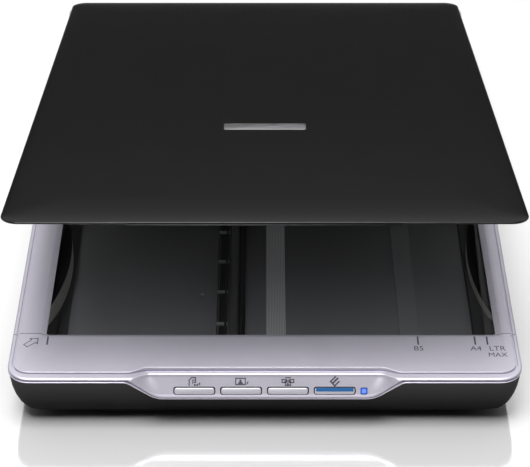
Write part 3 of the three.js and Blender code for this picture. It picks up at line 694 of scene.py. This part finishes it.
def flank_loop(z, wall=0.0, lip=0.0):
    """The case's outline at a height, notched in front for the tongue and drawn in by its wall."""
    side = between(SIDE_FLANK, z) + wall + lip
    front = between(FRONT_FLANK, z) + wall + lip
    loop = base_loop(side, front, side, z)
    low = FLANK_HEIGHTS[0]
    for point in loop[: len(COLUMNS)]:
        top = mix(CASE_TOP, NOTCH_TOP, ramp(point.x, *NOTCH_RAMP))
        point.z = low + (z - low) * (top - low) / (CASE_TOP - low)
        point.y = RIM_FRONT + between(FRONT_FLANK, point.z) + wall + lip
    return loop


def pan_loop(inset, z):
    """The shallow pan under the case, with wide corners."""
    x, y, corner = PAN["x"] - inset, PAN["y"] - inset, max(PAN["corner"] - inset, 4)
    span = (x - corner) / COLUMN_REACH
    return ring([column * span for column in COLUMNS], -x, x, -y, y, corner, corner, corner, z)


def case_shell():
    """The case as one skin: up the outside from the pan, over the top edge and down the inside."""
    outside = [flank_loop(z) for z in FLANK_HEIGHTS]
    outside[-1] = flank_loop(CASE_TOP, lip=0.2)
    inside = [flank_loop(z, WALL) for z in FLANK_HEIGHTS[:3:-1]]
    pan = [(1.6, 1.5), (0.5, 1.8), (0, 2.6), (0, 5.2), (-0.8, 5.9)]
    under = [pan_loop(inset, z) for inset, z in pan]
    floor = [pan_loop(inset, z) for inset, z in [(0.5, 7.4), (2.4, 6.8), (3.0, FLOOR_Z)]]
    shape = Shape().skin([*under, *outside, *inside, *floor])
    first_inner = (len(under) + len(outside)) * len(under[0])
    for face in range(first_inner, len(shape.tones)):
        top = max(shape.points[i].z for i in shape.faces[face])
        shape.tones[face] = 2 if top < GUTTER_TOP else 1
    bottom_cap = len(shape.tones) - 2
    shape.tones[bottom_cap] = 0
    return shape


# The finger grips under both sides: upright round walls that bulge into the case, by their inmost
# point, middle, radius and height.
GRIPS = [
    {"apex": -103.3, "y": -68, "radius": 130, "top": 17.4},
    {"apex": 108.7, "y": -63, "radius": 145, "top": 12.5},
]
GRIP_WALL = 2


def grip_outline(grip, wall, outer):
    """The round wall's outline, thinned by a wall and cut off straight at outer."""
    side = math.copysign(1, grip["apex"])
    radius = grip["radius"]
    centre = grip["apex"] + side * radius
    reach = math.degrees(math.acos((abs(centre) - outer) / radius))
    middle = 180 if side > 0 else 0
    return arc(centre, grip["y"], radius - wall, radius - wall, middle - reach, middle + reach, 48)


def grip_pocket(grip):
    """The hollow under a grip, open to the outside, for cutting."""
    return Shape().plate(grip_outline(grip, GRIP_WALL, OUTSIDE), -5, grip["top"] - GRIP_WALL)


def lower_case():
    """The case with its pockets for feet, screws and fingers and its opening for the socket."""
    case = raw("case_shell", case_shell())
    carve(case, foot_pockets())
    pockets = Shape()
    for grip in GRIPS:
        pockets.join(grip_pocket(grip))
    carve(case, pockets)
    gap = 0.4
    low, high = box_mm("usb_socket")
    outline = rounded(low.x - gap, high.x + gap, low.z - gap, high.z + gap, 0.5)
    socket = Shape().plate(outline, -190, -low.y - 0.5)
    carve(case, socket.moved(Matrix.Rotation(math.radians(90), 4, "X")))
    tones = [CASE_BLACK, INNER_BLACK, GUTTER_GREY]
    finished(case, "base", "case_black", tones, replaces="lower_case", sharp=30)
    grip_walls()


def grip_walls():
    """The platforms over the finger grips, trimmed to stay just inside the case wall."""
    for grip, word in zip(GRIPS, ("left", "right")):
        outline = grip_outline(grip, 0, 121.5)
        shape = Shape().plate(outline, FLOOR_Z - 1, grip["top"] - 0.02)
        wall = raw(f"grip_wall_{word}", shape)
        carve(wall, grip_pocket(grip))
        keep = Shape().skin([flank_loop(z, 0.4) for z in FLANK_HEIGHTS[1:]])
        carve(wall, keep, "INTERSECT")
        # Painted light and shade: upright faces take the light grey as if lit, level faces the inner black
        # as if shaded.
        for face in wall.data.polygons:
            face.material_index = 1 if abs(face.normal.z) < 0.5 else 0
        finished(wall, "base", "inner_black", [INNER_BLACK, GRIP_PAINTED_LIGHT], sharp=30, bevel=0.3)


def foot_places():
    """Front left, front right, rear left, rear right."""
    return [(x, y) for y in (-FOOT_Y, FOOT_Y) for x in (-FOOT_X, FOOT_X)]


def foot_pockets():
    """Round pockets for the feet and, at the back, for the screws' heads."""
    shape = Shape()
    for x, y in foot_places():
        shape.turned([(6.8, -1), (6.8, 2.5)], x, y)
    for side in (-1, 1):
        shape.turned([(3.8, -1), (3.8, 6.0)], side * SCREW_X, SCREW_Y)
    return shape


def interior():
    """The floor's raised panel, its ribs, the ladder beside the rail, the moulded strip and black plates
    painted as shade in the channels.
    """
    panel = Shape()
    panel.plate(rounded(-101.8, 107.5, -150, 150, 2), FLOOR_Z - 0.3, FLOOR_Z + 0.2)
    make("floor_panel", panel, "base", "inner_black", INNER_GREY, bevel=0.08)
    ribs = Shape()
    low = FLOOR_Z - 0.2
    front, back = -157, 150
    ladder = (-25.2, -19.5)
    for x0, x1, top in ((-26.3, -25.2, 7.0), (-19.6, -18.6, 5.6), (-10.2, -9.4, 6.4), (-24.6, -24.2, 5.4)):
        ribs.box(x0, x1, front, back, low, top)
    for step in range(12):
        y = -136.3 + 26.4 * step
        # The rungs take the lighter grey, a painted highlight.
        ribs.box(*ladder, y, y + 1.5, low, 5.5, tone=1)
    ribs.box(69.5, 79.3, front, back, low, 5.0, tone=2)
    make("floor_ribs", ribs, "base", "inner_black", [INNER_GREY, RUNG_PAINTED_HIGHLIGHT, STRIP_GREY], bevel=0.18)
    # Painted shade: black plates laid between the ribs stand in for the shade of deep channels.
    channel_top = FLOOR_Z + 0.26
    channel = Shape().box(-25.3, -19.5, front, back, low, channel_top)
    channel.box(RAIL_X + 2.3, -10.1, front, back, low, channel_top)
    make("floor_channel", channel, "base", "inner_black", INNER_BLACK)
    pin = Shape().turned([(0.01, 5.6), (0.6, 5.6), (0.8, 5.4), (0.8, low)], -33.1, -85.3, 24)
    make("locating_pin", pin, "base", "steel", STEEL)


# ------------------------ glass, marks and panel


def platen():
    """The glass, a flat sheet with ground edges."""
    low, high = GLASS_LOW, GLASS_HIGH
    edge = 0.25

    def outline(inset):
        return rounded(low.x + inset, high.x - inset, low.y + inset, high.y - inset, 1.2)

    pane = stacked([(edge, low.z), (0, low.z + edge), (0, high.z - edge), (edge, high.z)], outline)
    make("platen_pane", pane, "base", "platen_glass", PANE, replaces="platen_glass")


def letters(text, x, y, size):
    """A short generic mark in the plain built-in face, as a shape lying on the plateau."""
    curve = bpy.data.curves.new("letters", "FONT")
    curve.body = text
    curve.size = size
    curve.align_x = "CENTER"
    curve.extrude = 0.015
    writer = bpy.data.objects.new("letters", curve)
    bpy.context.scene.collection.objects.link(writer)
    bpy.context.view_layer.update()
    mesh = bpy.data.meshes.new_from_object(writer.evaluated_get(bpy.context.evaluated_depsgraph_get()))
    shape = Shape()
    place = Vector((x, y, PLATEAU_Z + 0.01))
    shape.add([v.co + place for v in mesh.vertices], [list(p.vertices) for p in mesh.polygons])
    bpy.data.objects.remove(writer)
    return shape


def marks():
    """Paper sizes in front of the glass, and the arrow to the corner where the paper goes."""
    ink = Shape()
    z0, z1 = PLATEAU_Z - 0.01, PLATEAU_Z + 0.025
    corner_x = -106.8
    tick_half = 0.42
    for size in (0, 182, 210, 216):
        x = corner_x + size
        ink.box(x - tick_half, x + tick_half, -156.0, -149.8, z0, z1)
    text_y, text_size = -160.4, 4.8
    for text, x in (("B5", corner_x + 182), ("A4", corner_x + 210), ("LTR", 113.6)):
        ink.join(letters(text, x, text_y, text_size))
    ink.join(letters("MAX", 113.4, -165.0, 4.4))
    tip = Vector((-111.6, -151.3))
    arrow = [(0, 0), (-4.0, 0), (-3.0, -1.0), (-6.6, -4.6), (-4.8, -6.4), (-1.0, -3.0), (0, -4.0)]
    ink.stroke([(tip.x + x, tip.y + y) for x, y in arrow], 0.42, z0, z1, closed=True)
    make("size_marks", ink, "base", "chip_black", INK)


def icons():
    """Line drawings over the buttons: document pages, a picture, two copies, and a start diamond."""
    ink = Shape()
    z0, z1 = -0.1, 0.06
    row = -3.55
    thin, pen, bold, broad = 0.4, 0.5, 0.7, 0.9
    documents, picture, copies, start = button_centres()

    def at(x, points):
        return [(x + px, row + py) for px, py in points]

    def line(x, points, width=pen, closed=False):
        ink.stroke(at(x, points), width, z0, z1, closed=closed)

    line(documents - 0.6, [(-1.9, -1.9), (-1.9, 0.6), (-0.6, 1.9), (1.2, 1.9), (1.2, -0.4), (0.4, -0.4)])
    line(documents - 0.2, [(-0.6, -0.9), (-0.6, 0.7), (0.6, 0.7)], thin)
    for dx, dy in ((0.2, -1.7), (1.4, -1.7), (2.5, -1.2)):
        x, y = documents + dx, row + dy
        ink.plate(rounded(x - 0.4, x + 0.4, y - 0.5, y + 0.5, 0.2), z0, z1)
    line(picture, [(-2.6, -1.5), (-2.6, 1.5), (2.0, 1.5), (2.0, -1.5)], closed=True)
    ink.plate(at(picture, [(-1.6, -1.3), (1.0, -1.3), (0.5, -0.2), (-1.1, -0.2)]), z0, z1)
    ink.turned([(0.6, z0), (0.6, z1)], picture - 0.3, row + 0.35, 16)
    line(picture, [(2.9, -1.1), (3.3, -0.2)])
    for dx in (-1.7, 1.7):
        line(copies + dx, [(-1.1, -0.5), (-1.1, 0.9), (1.1, 0.9), (1.1, -0.5)], closed=True)
    line(copies, [(-1.3, -1.9), (-1.3, 0.2), (1.3, 0.2), (1.3, -1.9)], closed=True)
    line(copies, [(-1.2, 1.8), (1.2, 1.8)])
    ink.plate(at(copies, [(-0.7, -1.6), (0.7, -1.6), (0, -0.5)]), z0, z1)
    line(start, [(0.3, 2.2), (-2.0, 0), (0, -2.1), (2.0, -0.1)], bold)
    line(start, [(-0.5, -0.4), (1.3, 1.4)], broad)
    make("panel_icons", ink.moved(PANEL_FRAME), "base", "chip_black", INK)


def key_cap(x):
    """A push button in the panel's frame: skirt, soft shoulders and a slightly crowned face."""
    width, height, down = BUTTON["width"], BUTTON["height"], BUTTON["down"]
    profile = [(-2.2, 0, 1.05), (-0.05, 0, 1.05), (0.12, -0.06, 1.0), (0.24, -0.2, 0.9), (0.3, -0.42, 0.7)]
    loops = []
    for z, grow, radius in profile:
        half_w, half_h = width / 2 + grow, height / 2 + grow
        outline = rounded(x - half_w, x + half_w, -down - half_h, -down + half_h, radius)
        loops.append([(px, py, z) for px, py in outline])
    shape = Shape().skin(loops)
    flange = width / 2 + 0.75
    shape.box(x - flange, x + flange, -down - 2.35, -down + 2.6, -2.8, -1.95, tone=1)
    stem_x, stem_y = 1.5, 0.9
    return shape.box(x - stem_x, x + stem_x, -down - stem_y, -down + stem_y, -3.2, -2.7, tone=1)


def blue_band(x):
    """The band along the upper half of the start button."""
    y = -BUTTON["down"]
    half = BUTTON["width"] / 2 - 0.6
    return Shape().plate(rounded(x - half, x + half, y - 0.2, y + 1.54, 0.3), 0.05, 0.34, tone=2)


def buttons():
    for name, x in zip(BUTTON_NAMES, button_centres()):
        shape = key_cap(x)
        tones = [KEY_SILVER, RUBBER]
        slot = "button_silver"
        if name == "start":
            shape.join(blue_band(x))
            tones.append(KEY_BLUE)
            slot = "start_key"
        node = f"{name}_button"
        make(f"{name}_key", shape.moved(PANEL_FRAME), node, slot, tones, replaces=node)


def lamp():
    """The square status lamp: a dark rim and a lit core."""
    x, y, half = LAMP["x"], -BUTTON["down"], LAMP["side"] / 2
    lens = Shape().plate(rounded(x - half, x + half, y - half, y + half, 0.5), -5.8, 0.05)
    core = half - 0.5
    lens.plate(rounded(x - core, x + core, y - core, y + core, 0.35), -1, 0.1, tone=1)
    lens.moved(PANEL_FRAME)
    make("lamp_lens", lens, "base", "lamp_blue", [LAMP_EDGE, LAMP_BLUE], replaces="status_lamp")


# ------------------------ drive, cable and feet


def belt():
    """The toothed belt, round both pulleys, with teeth along its two straight runs."""
    inner, outer, bottom, top = 4.0, 4.7, 7.5, 11.5
    front, rear = -164.0, 163.0

    def run(radius):
        rear_bend = arc(RAIL_X, rear, radius, radius, 0, 180, 20)
        return rear_bend + arc(RAIL_X, front, radius, radius, 180, 360, 20)

    section = [(inner, bottom), (outer, bottom), (outer, top), (inner, top)]
    loops = [[(x, y, z) for x, y in run(radius)] for radius, z in section]
    shape = Shape().skin(loops, closed=True)
    pitch, tooth_half = 2.0, 0.45
    for side in (-1, 1):
        x0, x1 = sorted((RAIL_X + side * (inner - 0.35), RAIL_X + side * (inner + 0.1)))
        for step in range(int((rear - front) / pitch)):
            y = front + pitch * (step + 0.5)
            shape.box(x0, x1, y - tooth_half, y + tooth_half, bottom + 0.1, top - 0.1)
    make("toothed_belt", shape, "base", "belt_black", BELT_RUBBER, replaces="drive_belt")


def flat_cable(path, name, body, node):
    """A flat cable along [y, z] points in the side view, with its conductors as low ridges."""
    x0, x1, half, ridge = 0.6, 10.7, 0.11, 0.04
    conductors = 12
    count = 4 * conductors
    loops = []
    for i, (y, z) in enumerate(path):
        before, after = path[max(i - 1, 0)], path[min(i + 1, len(path) - 1)]
        along = Vector((after[0] - before[0], after[1] - before[1])).normalized()
        up = Vector((-along.y, along.x))
        section = []
        for side in (-1, 1):
            for k in range(count + 1)[::-side]:
                height = side * (half + (ridge if k % 4 in (1, 2) else 0.0))
                section.append((mix(x0, x1, k / count), y + up.x * height, z + up.y * height))
        loops.append(section)
    make(name, Shape().skin(loops), body, "ribbon_white", FLAT_CABLE, replaces=node)


def cables():
    """The cable along the floor with its rise to the main board, and the loop at the carriage."""
    z = FLOOR_Z + 0.45
    rise = [(155, z), (157.2, z + 0.8), (158, z + 3), (158.2, 9.5), (158.6, 11.2), (160.7, 11.7)]
    flat_cable([(-150, z), (-60, z), (60, z), *rise], "floor_cable", "base", "floor_ribbon")
    bend = arc(-158, 9, 3.6, 3.6, 90, 270, 20)
    flat_cable([(-154, 12.6), *bend, (-155, 5.4)], "loop_cable", "carriage", "ribbon_loop")


def coil(radius, wire, height, turns):
    """A coil spring standing on the origin."""
    steps = 20 * turns
    path = []
    for i in range(steps + 1):
        angle = 2 * math.pi * turns * i / steps
        rise = wire + (height - 2 * wire) * i / steps
        path.append(Vector((radius * math.cos(angle), radius * math.sin(angle), rise)))
    return Shape().tube(path, wire)


def springs():
    for node, x in (("lift_spring_left", -80), ("lift_spring_right", 86)):
        shape = coil(2.0, 0.28, 2.9, 4).moved(Matrix.Translation((x, -158, 14.8)))
        make(node + "_coil", shape, "carriage", "steel", STEEL, replaces=node)
    lying = Matrix.Translation((RAIL_X, -169.1, 7.2)) @ Matrix.Rotation(math.radians(90), 4, "X")
    shape = coil(1.3, 0.2, 2.3, 4).moved(lying)
    make("belt_spring_coil", shape, "base", "steel", STEEL, replaces="belt_spring")


def feet():
    words = ("front_left", "front_right", "rear_left", "rear_right")
    profile = [(0.01, 0.35), (4.0, 0.35), (4.3, 0.0), (5.7, 0.0), (6.25, 0.25), (6.5, 0.8)]
    profile += [(6.5, 2.2), (0.01, 2.2)]
    for (x, y), word in zip(foot_places(), words):
        pad = Shape().turned(profile, x, y, 48)
        make(f"foot_pad_{word}", pad, "base", "foot_rubber", RUBBER, replaces=f"foot_{word}", sharp=50)


def screws():
    """Two screws with a cross cut into each head."""
    profile = [
        (0.01, 3.6), (2.2, 3.65), (2.9, 3.95), (3.2, 4.5), (3.2, 5.7), (1.2, 5.7), (1.2, 21), (0.01, 22),
    ]
    long, short = 1.9, 0.35
    for side, word in ((-1, "left"), (1, "right")):
        x, y = side * SCREW_X, SCREW_Y
        screw = raw(f"screw_{word}", Shape().turned(profile, x, y, 32))
        for half_x, half_y in ((long, short), (short, long)):
            carve(screw, Shape().box(x - half_x, x + half_x, y - half_y, y + half_y, 3, 4.8))
        finished(screw, "base", "steel", STEEL, replaces=f"case_screw_{word}")


# ------------------------ lid

LID = {"x": 121.5, "y0": -179.8, "y1": 172.5, "corner": 8.5}
NAMEPLATE = {"half": 21.2, "y0": -60.8, "y1": -51.8, "corner": 1.1, "gap": 0.3}

# The lid's skin from its underside out over the edge and in across the crown: inset, then height.
CROWN = [
    (1.9, 35.5), (1.9, 34.95), (0.8, 34.9), (0.25, 35.05), (0.0, 35.4), (0.0, 35.9), (0.15, 36.08),
    (0.35, 36.2), (0.7, 36.3), (2.6, 36.5), (5.0, 36.66), (9.0, 36.79), (14.0, 36.9), (20.0, 36.99),
    (27.0, 37.05),
]


def lid_outline(inset):
    x = LID["x"] - inset
    corner = max(LID["corner"] - 0.3 * inset, 3.5)
    return rounded(-x, x, LID["y0"] + inset, LID["y1"] - inset, corner, 12)


def nameplate_outline(grow, radius):
    half = NAMEPLATE["half"] + grow
    return rounded(-half, half, NAMEPLATE["y0"] - grow, NAMEPLATE["y1"] + grow, radius)


def lid_skin():
    skin = raw("lid_skin", stacked(CROWN, lid_outline).moved(LID_OPEN))
    gap = NAMEPLATE["gap"]
    recess = Shape().plate(nameplate_outline(gap, NAMEPLATE["corner"] + gap), 36.75, 40)
    carve(skin, recess.moved(LID_OPEN))
    finished(skin, "lid", "lid_black", LID_BLACK, replaces="lid_shell", sharp=40)
    lid_lip()


def lid_lip():
    """The finger lip under the lid's front edge, which fades out at both ends."""
    bottom = 34.4
    profile = [
        (-179.2, 35.0), (-179.5, 34.95), (-179.72, 34.82), (-179.78, 34.6), (-179.6, 34.44),
        (-179.0, bottom), (-176.9, bottom), (-176.8, 35.45), (-179.2, 35.45),
    ]
    loops = []
    for x, rise in [(-67, 1.0), (-64.5, 0.35), (-62.5, 0.0), (62.5, 0.0), (64.5, 0.35), (67, 1.0)]:
        loops.append([(x, y + 1.5 * rise, max(z, bottom + 0.6 * rise)) for y, z in profile])
    lip = Shape().skin(loops).moved(LID_OPEN)
    make("lid_lip", lip, "lid", "lid_black", LID_BLACK, sharp=50)


def lid_liner():
    """The lid's inner cover."""
    x, y0, y1, corner = 112, -165.8, 163.5, 10
    profile = [(1.6, 33.3), (1.6, 35.2), (0, 35.2), (0, 32.5), (0.2, 32.05), (0.7, 31.8)]

    def outline(inset):
        return rounded(-x + inset, x - inset, y0 + inset, y1 - inset, corner - inset, 10)

    liner = raw("lid_liner", stacked(profile, outline).moved(LID_OPEN))
    finished(liner, "lid", "case_black", CASE_BLACK, replaces="lid_inner_cover", sharp=40)
    knuckles()


def knuckles():
    """A pair of ears round each hinge arm, hung from the lid."""
    radius, gap, width = 2.2, 6.0, 3.5
    block = [(162.6, 34.8), (162.6, 31.9), (168.5, 31.2)]
    section = [*block, *arc(HINGE.y, HINGE.z, radius, radius, -90, 90, 16), (168.5, 34.9)]
    for side, word in ((-1, "left"), (1, "right")):
        shape = Shape()
        for end in (-1, 1):
            near = side * ARM_X + end * gap
            ends = sorted((near, near + end * width))
            shape.skin([[(x, y, z) for y, z in section] for x in ends])
        make(f"lid_knuckle_{word}", shape.moved(LID_OPEN), "lid", "case_black", CASE_BLACK, bevel=0.15)


def mat():
    """The foam pad with its soft edge, and the white film on it."""
    x0, x1, y0, y1 = -104.5, 110.5, -143.5, 149.5
    foam_profile = [
        (0.3, 29.8), (0.05, 29.95), (0.15, 30.3), (0.3, 30.65), (0.15, 31.0), (0.05, 31.35), (0.3, 31.5),
    ]
    film_profile = [(0.25, 29.0), (0.05, 29.08), (0, 29.25), (0, 29.5)]

    def outline(inset):
        return rounded(x0 + inset, x1 - inset, y0 + inset, y1 - inset, 3.0)

    foam = stacked(foam_profile, outline).moved(LID_OPEN)
    pad = make("mat_pad", foam, "lid", "foam_grey", FOAM, replaces="mat_foam", sharp=60)
    film = stacked(film_profile, outline).moved(LID_OPEN)
    make("mat_film", film, "lid", "mat_white", MAT_WHITE, replaces="mat_sheet")


def nameplate():
    def outline(inset):
        return nameplate_outline(-inset, NAMEPLATE["corner"] - inset / 2)

    plate = stacked([(0.0, 36.7), (0.0, 36.98), (0.15, 37.06), (0.4, 37.1)], outline)
    make("blank_nameplate", plate.moved(LID_OPEN), "lid", "badge", BADGE, replaces="nameplate")


# ------------------------ CAD pieces that keep their shape

# The material, how far the edges are rounded, and the nodes.
KEPT = [
    (WHITE_PLASTIC, 0.05, ["calibration_strip"]),
    (WHITE_PLASTIC, 0.1, ["ribbon_connector"]),
    (WHITE_PLASTIC, 0.2, ["light_guide"]),
    (BOARD_GREEN, 0.05, ["button_board", "main_board"]),
    (CHIP_BLACK, 0.08, ["controller_chip", *[f"button_switch_{i}" for i in range(1, 5)]]),
    (CHIP_BLACK, 0.1, ["lens_array"]),
    (STEEL, 0.06, ["usb_socket", "motor_pinion"]),
    (STEEL, 0.1, ["hinge_pin_left", "hinge_pin_right"]),
    (STEEL, 0.15, ["idler_bracket"]),
    (STEEL, 0.2, ["stepper_motor"]),
    (RAIL_GREY, 0.25, ["guide_rail"]),
    (NYLON, 0.1, ["idler_pulley", "drive_gear"]),
    (NYLON, 0.15, ["spacer_left", "spacer_right"]),
    (INNER_BLACK, 0.15, ["belt_clamp"]),
    (INNER_BLACK, 0.2, ["hinge_socket_left", "hinge_socket_right", "carriage_sled"]),
    (INNER_BLACK, 0.2, ["hinge_arm_left", "hinge_arm_right"]),
    (INNER_BLACK, 0.25, ["sensor_housing"]),
    (PANE, 0.05, ["sensor_window"]),
]


def kept_nodes():
    for material, bevel, names in KEPT:
        for name in names:
            node = frame["nodes"][name]
            node.data.materials.clear()
            node.data.materials.append(material)
            weld = node.modifiers.new("weld", "WELD")
            weld.merge_threshold = 1e-6
            soften(node, bevel)


# ------------------------ stage, light and camera


def stage():
    """A pale, slightly glossy table top, which shows a faint reflection of the case."""
    n = Nodes("studio_floor")
    pale = n.tint(n.noise(3, 2), rgb(0.885, 0.885, 0.885), rgb(0.905, 0.905, 0.905))
    material = n.set(Base_Color=pale, Roughness=0.06, Metallic=0.42)
    far, depth = 15000, 40
    floor = raw("studio_floor", Shape().box(-far, far, -far, far, -depth, 0))
    floor.data.materials.append(material)
    return floor


def ramped(tree, value, stops):
    """A smooth ramp through (position, brightness) stops."""
    node = tree.nodes.new("ShaderNodeValToRGB")
    node.color_ramp.interpolation = "EASE"
    elements = node.color_ramp.elements
    while len(elements) < len(stops):
        elements.new(0.5)
    for element, (position, level) in zip(elements, stops):
        element.position = position
        element.color = rgb(level, level, level)
    tree.links.new(value, node.inputs[0])
    return node.outputs[0]


def scaled(tree, value, factor, added):
    """value * factor + added, where added is a number or another output."""
    node = tree.nodes.new("ShaderNodeMath")
    node.operation = "MULTIPLY_ADD"
    node.inputs[1].default_value = factor
    tree.links.new(value, node.inputs[0])
    if isinstance(added, bpy.types.NodeSocket):
        tree.links.new(added, node.inputs[2])
    else:
        node.inputs[2].default_value = added
    return node.outputs[0]


def world():
    """A pale room that is dark along the horizon, bright behind and overhead, and dim in front."""
    room = bpy.data.worlds.new("studio")
    room.use_nodes = True
    bpy.context.scene.world = room
    tree = room.node_tree
    coords = tree.nodes.new("ShaderNodeTexCoord")
    split = tree.nodes.new("ShaderNodeSeparateXYZ")
    tree.links.new(coords.outputs["Generated"], split.inputs[0])
    height_stops = [(0.0, 0.005), (0.12, 0.01), (0.18, 0.1), (0.25, 0.55), (0.5, 1.0)]
    depth_stops = [(0.6, 0.04), (0.86, 1.0)]
    height = ramped(tree, split.outputs["Z"], height_stops)
    behind = scaled(tree, split.outputs["Z"], 0.6, split.outputs["Y"])
    depth = ramped(tree, scaled(tree, behind, 0.35, 0.5), depth_stops)
    both = tree.nodes.new("ShaderNodeMix")
    both.data_type = "RGBA"
    both.blend_type = "MULTIPLY"
    both.inputs["Factor"].default_value = 1.0
    tree.links.new(height, both.inputs["A"])
    tree.links.new(depth, both.inputs["B"])
    background = tree.nodes["Background"]
    background.inputs["Strength"].default_value = 0.86
    tree.links.new(both.outputs["Result"], background.inputs["Color"])


def softbox(name, place, target, width, height, power):
    """A rectangular light aimed at a target, in metres and watts."""
    light = bpy.data.lights.new(name, "AREA")
    light.shape = "RECTANGLE"
    light.size, light.size_y = width, height
    light.energy = power
    lamp = bpy.data.objects.new(name, light)
    lamp.location = place
    lamp.rotation_euler = (Vector(target) - Vector(place)).to_track_quat("-Z", "Y").to_euler()
    bpy.context.scene.collection.objects.link(lamp)
    return lamp


def spare(lamp, floor):
    """Keeps a light off the floor, so that the shadow where the case meets it stays deep."""
    others = bpy.data.collections.new(lamp.name + "_spares")
    others.objects.link(floor)
    others.collection_objects[0].light_linking.link_state = "EXCLUDE"
    lamp.light_linking.receiver_collection = others


def lights(floor):
    softbox("top_box", (-0.15, -0.35, 1.9), (0, -0.15, 0), 0.8, 1.2, 50)
    spare(softbox("front_box", (0, -1.15, 1.6), (0, -0.15, 0.03), 1.1, 0.7, 9), floor)
    spare(softbox("right_box", (1.5, -0.9, 0.9), (0, -0.1, 0.02), 0.6, 0.6, 0.6), floor)


def camera():
    """A long lens, close in front and looking down at the lid and the panel."""
    looking_down = 36.78
    lens = bpy.data.cameras.new("camera")
    lens.sensor_width = 36.0
    lens.lens = 122.26
    lens.shift_x = -0.0032
    lens.clip_start, lens.clip_end = 0.05, 30
    holder = bpy.data.objects.new("camera", lens)
    holder.location = (0.0009, -0.8299, 0.6023)
    holder.rotation_euler = (math.radians(90 - looking_down), 0, 0)
    bpy.context.scene.collection.objects.link(holder)
    bpy.context.scene.camera = holder


# ------------------------ the build

casing_top()
lower_case()
interior()
platen()
marks()
icons()
buttons()
lamp()
belt()
cables()
springs()
feet()
screws()
lid_skin()
lid_liner()
mat()
nameplate()
kept_nodes()
world()
lights(stage())
camera()
bpy.context.scene.view_settings.view_transform = "Standard"
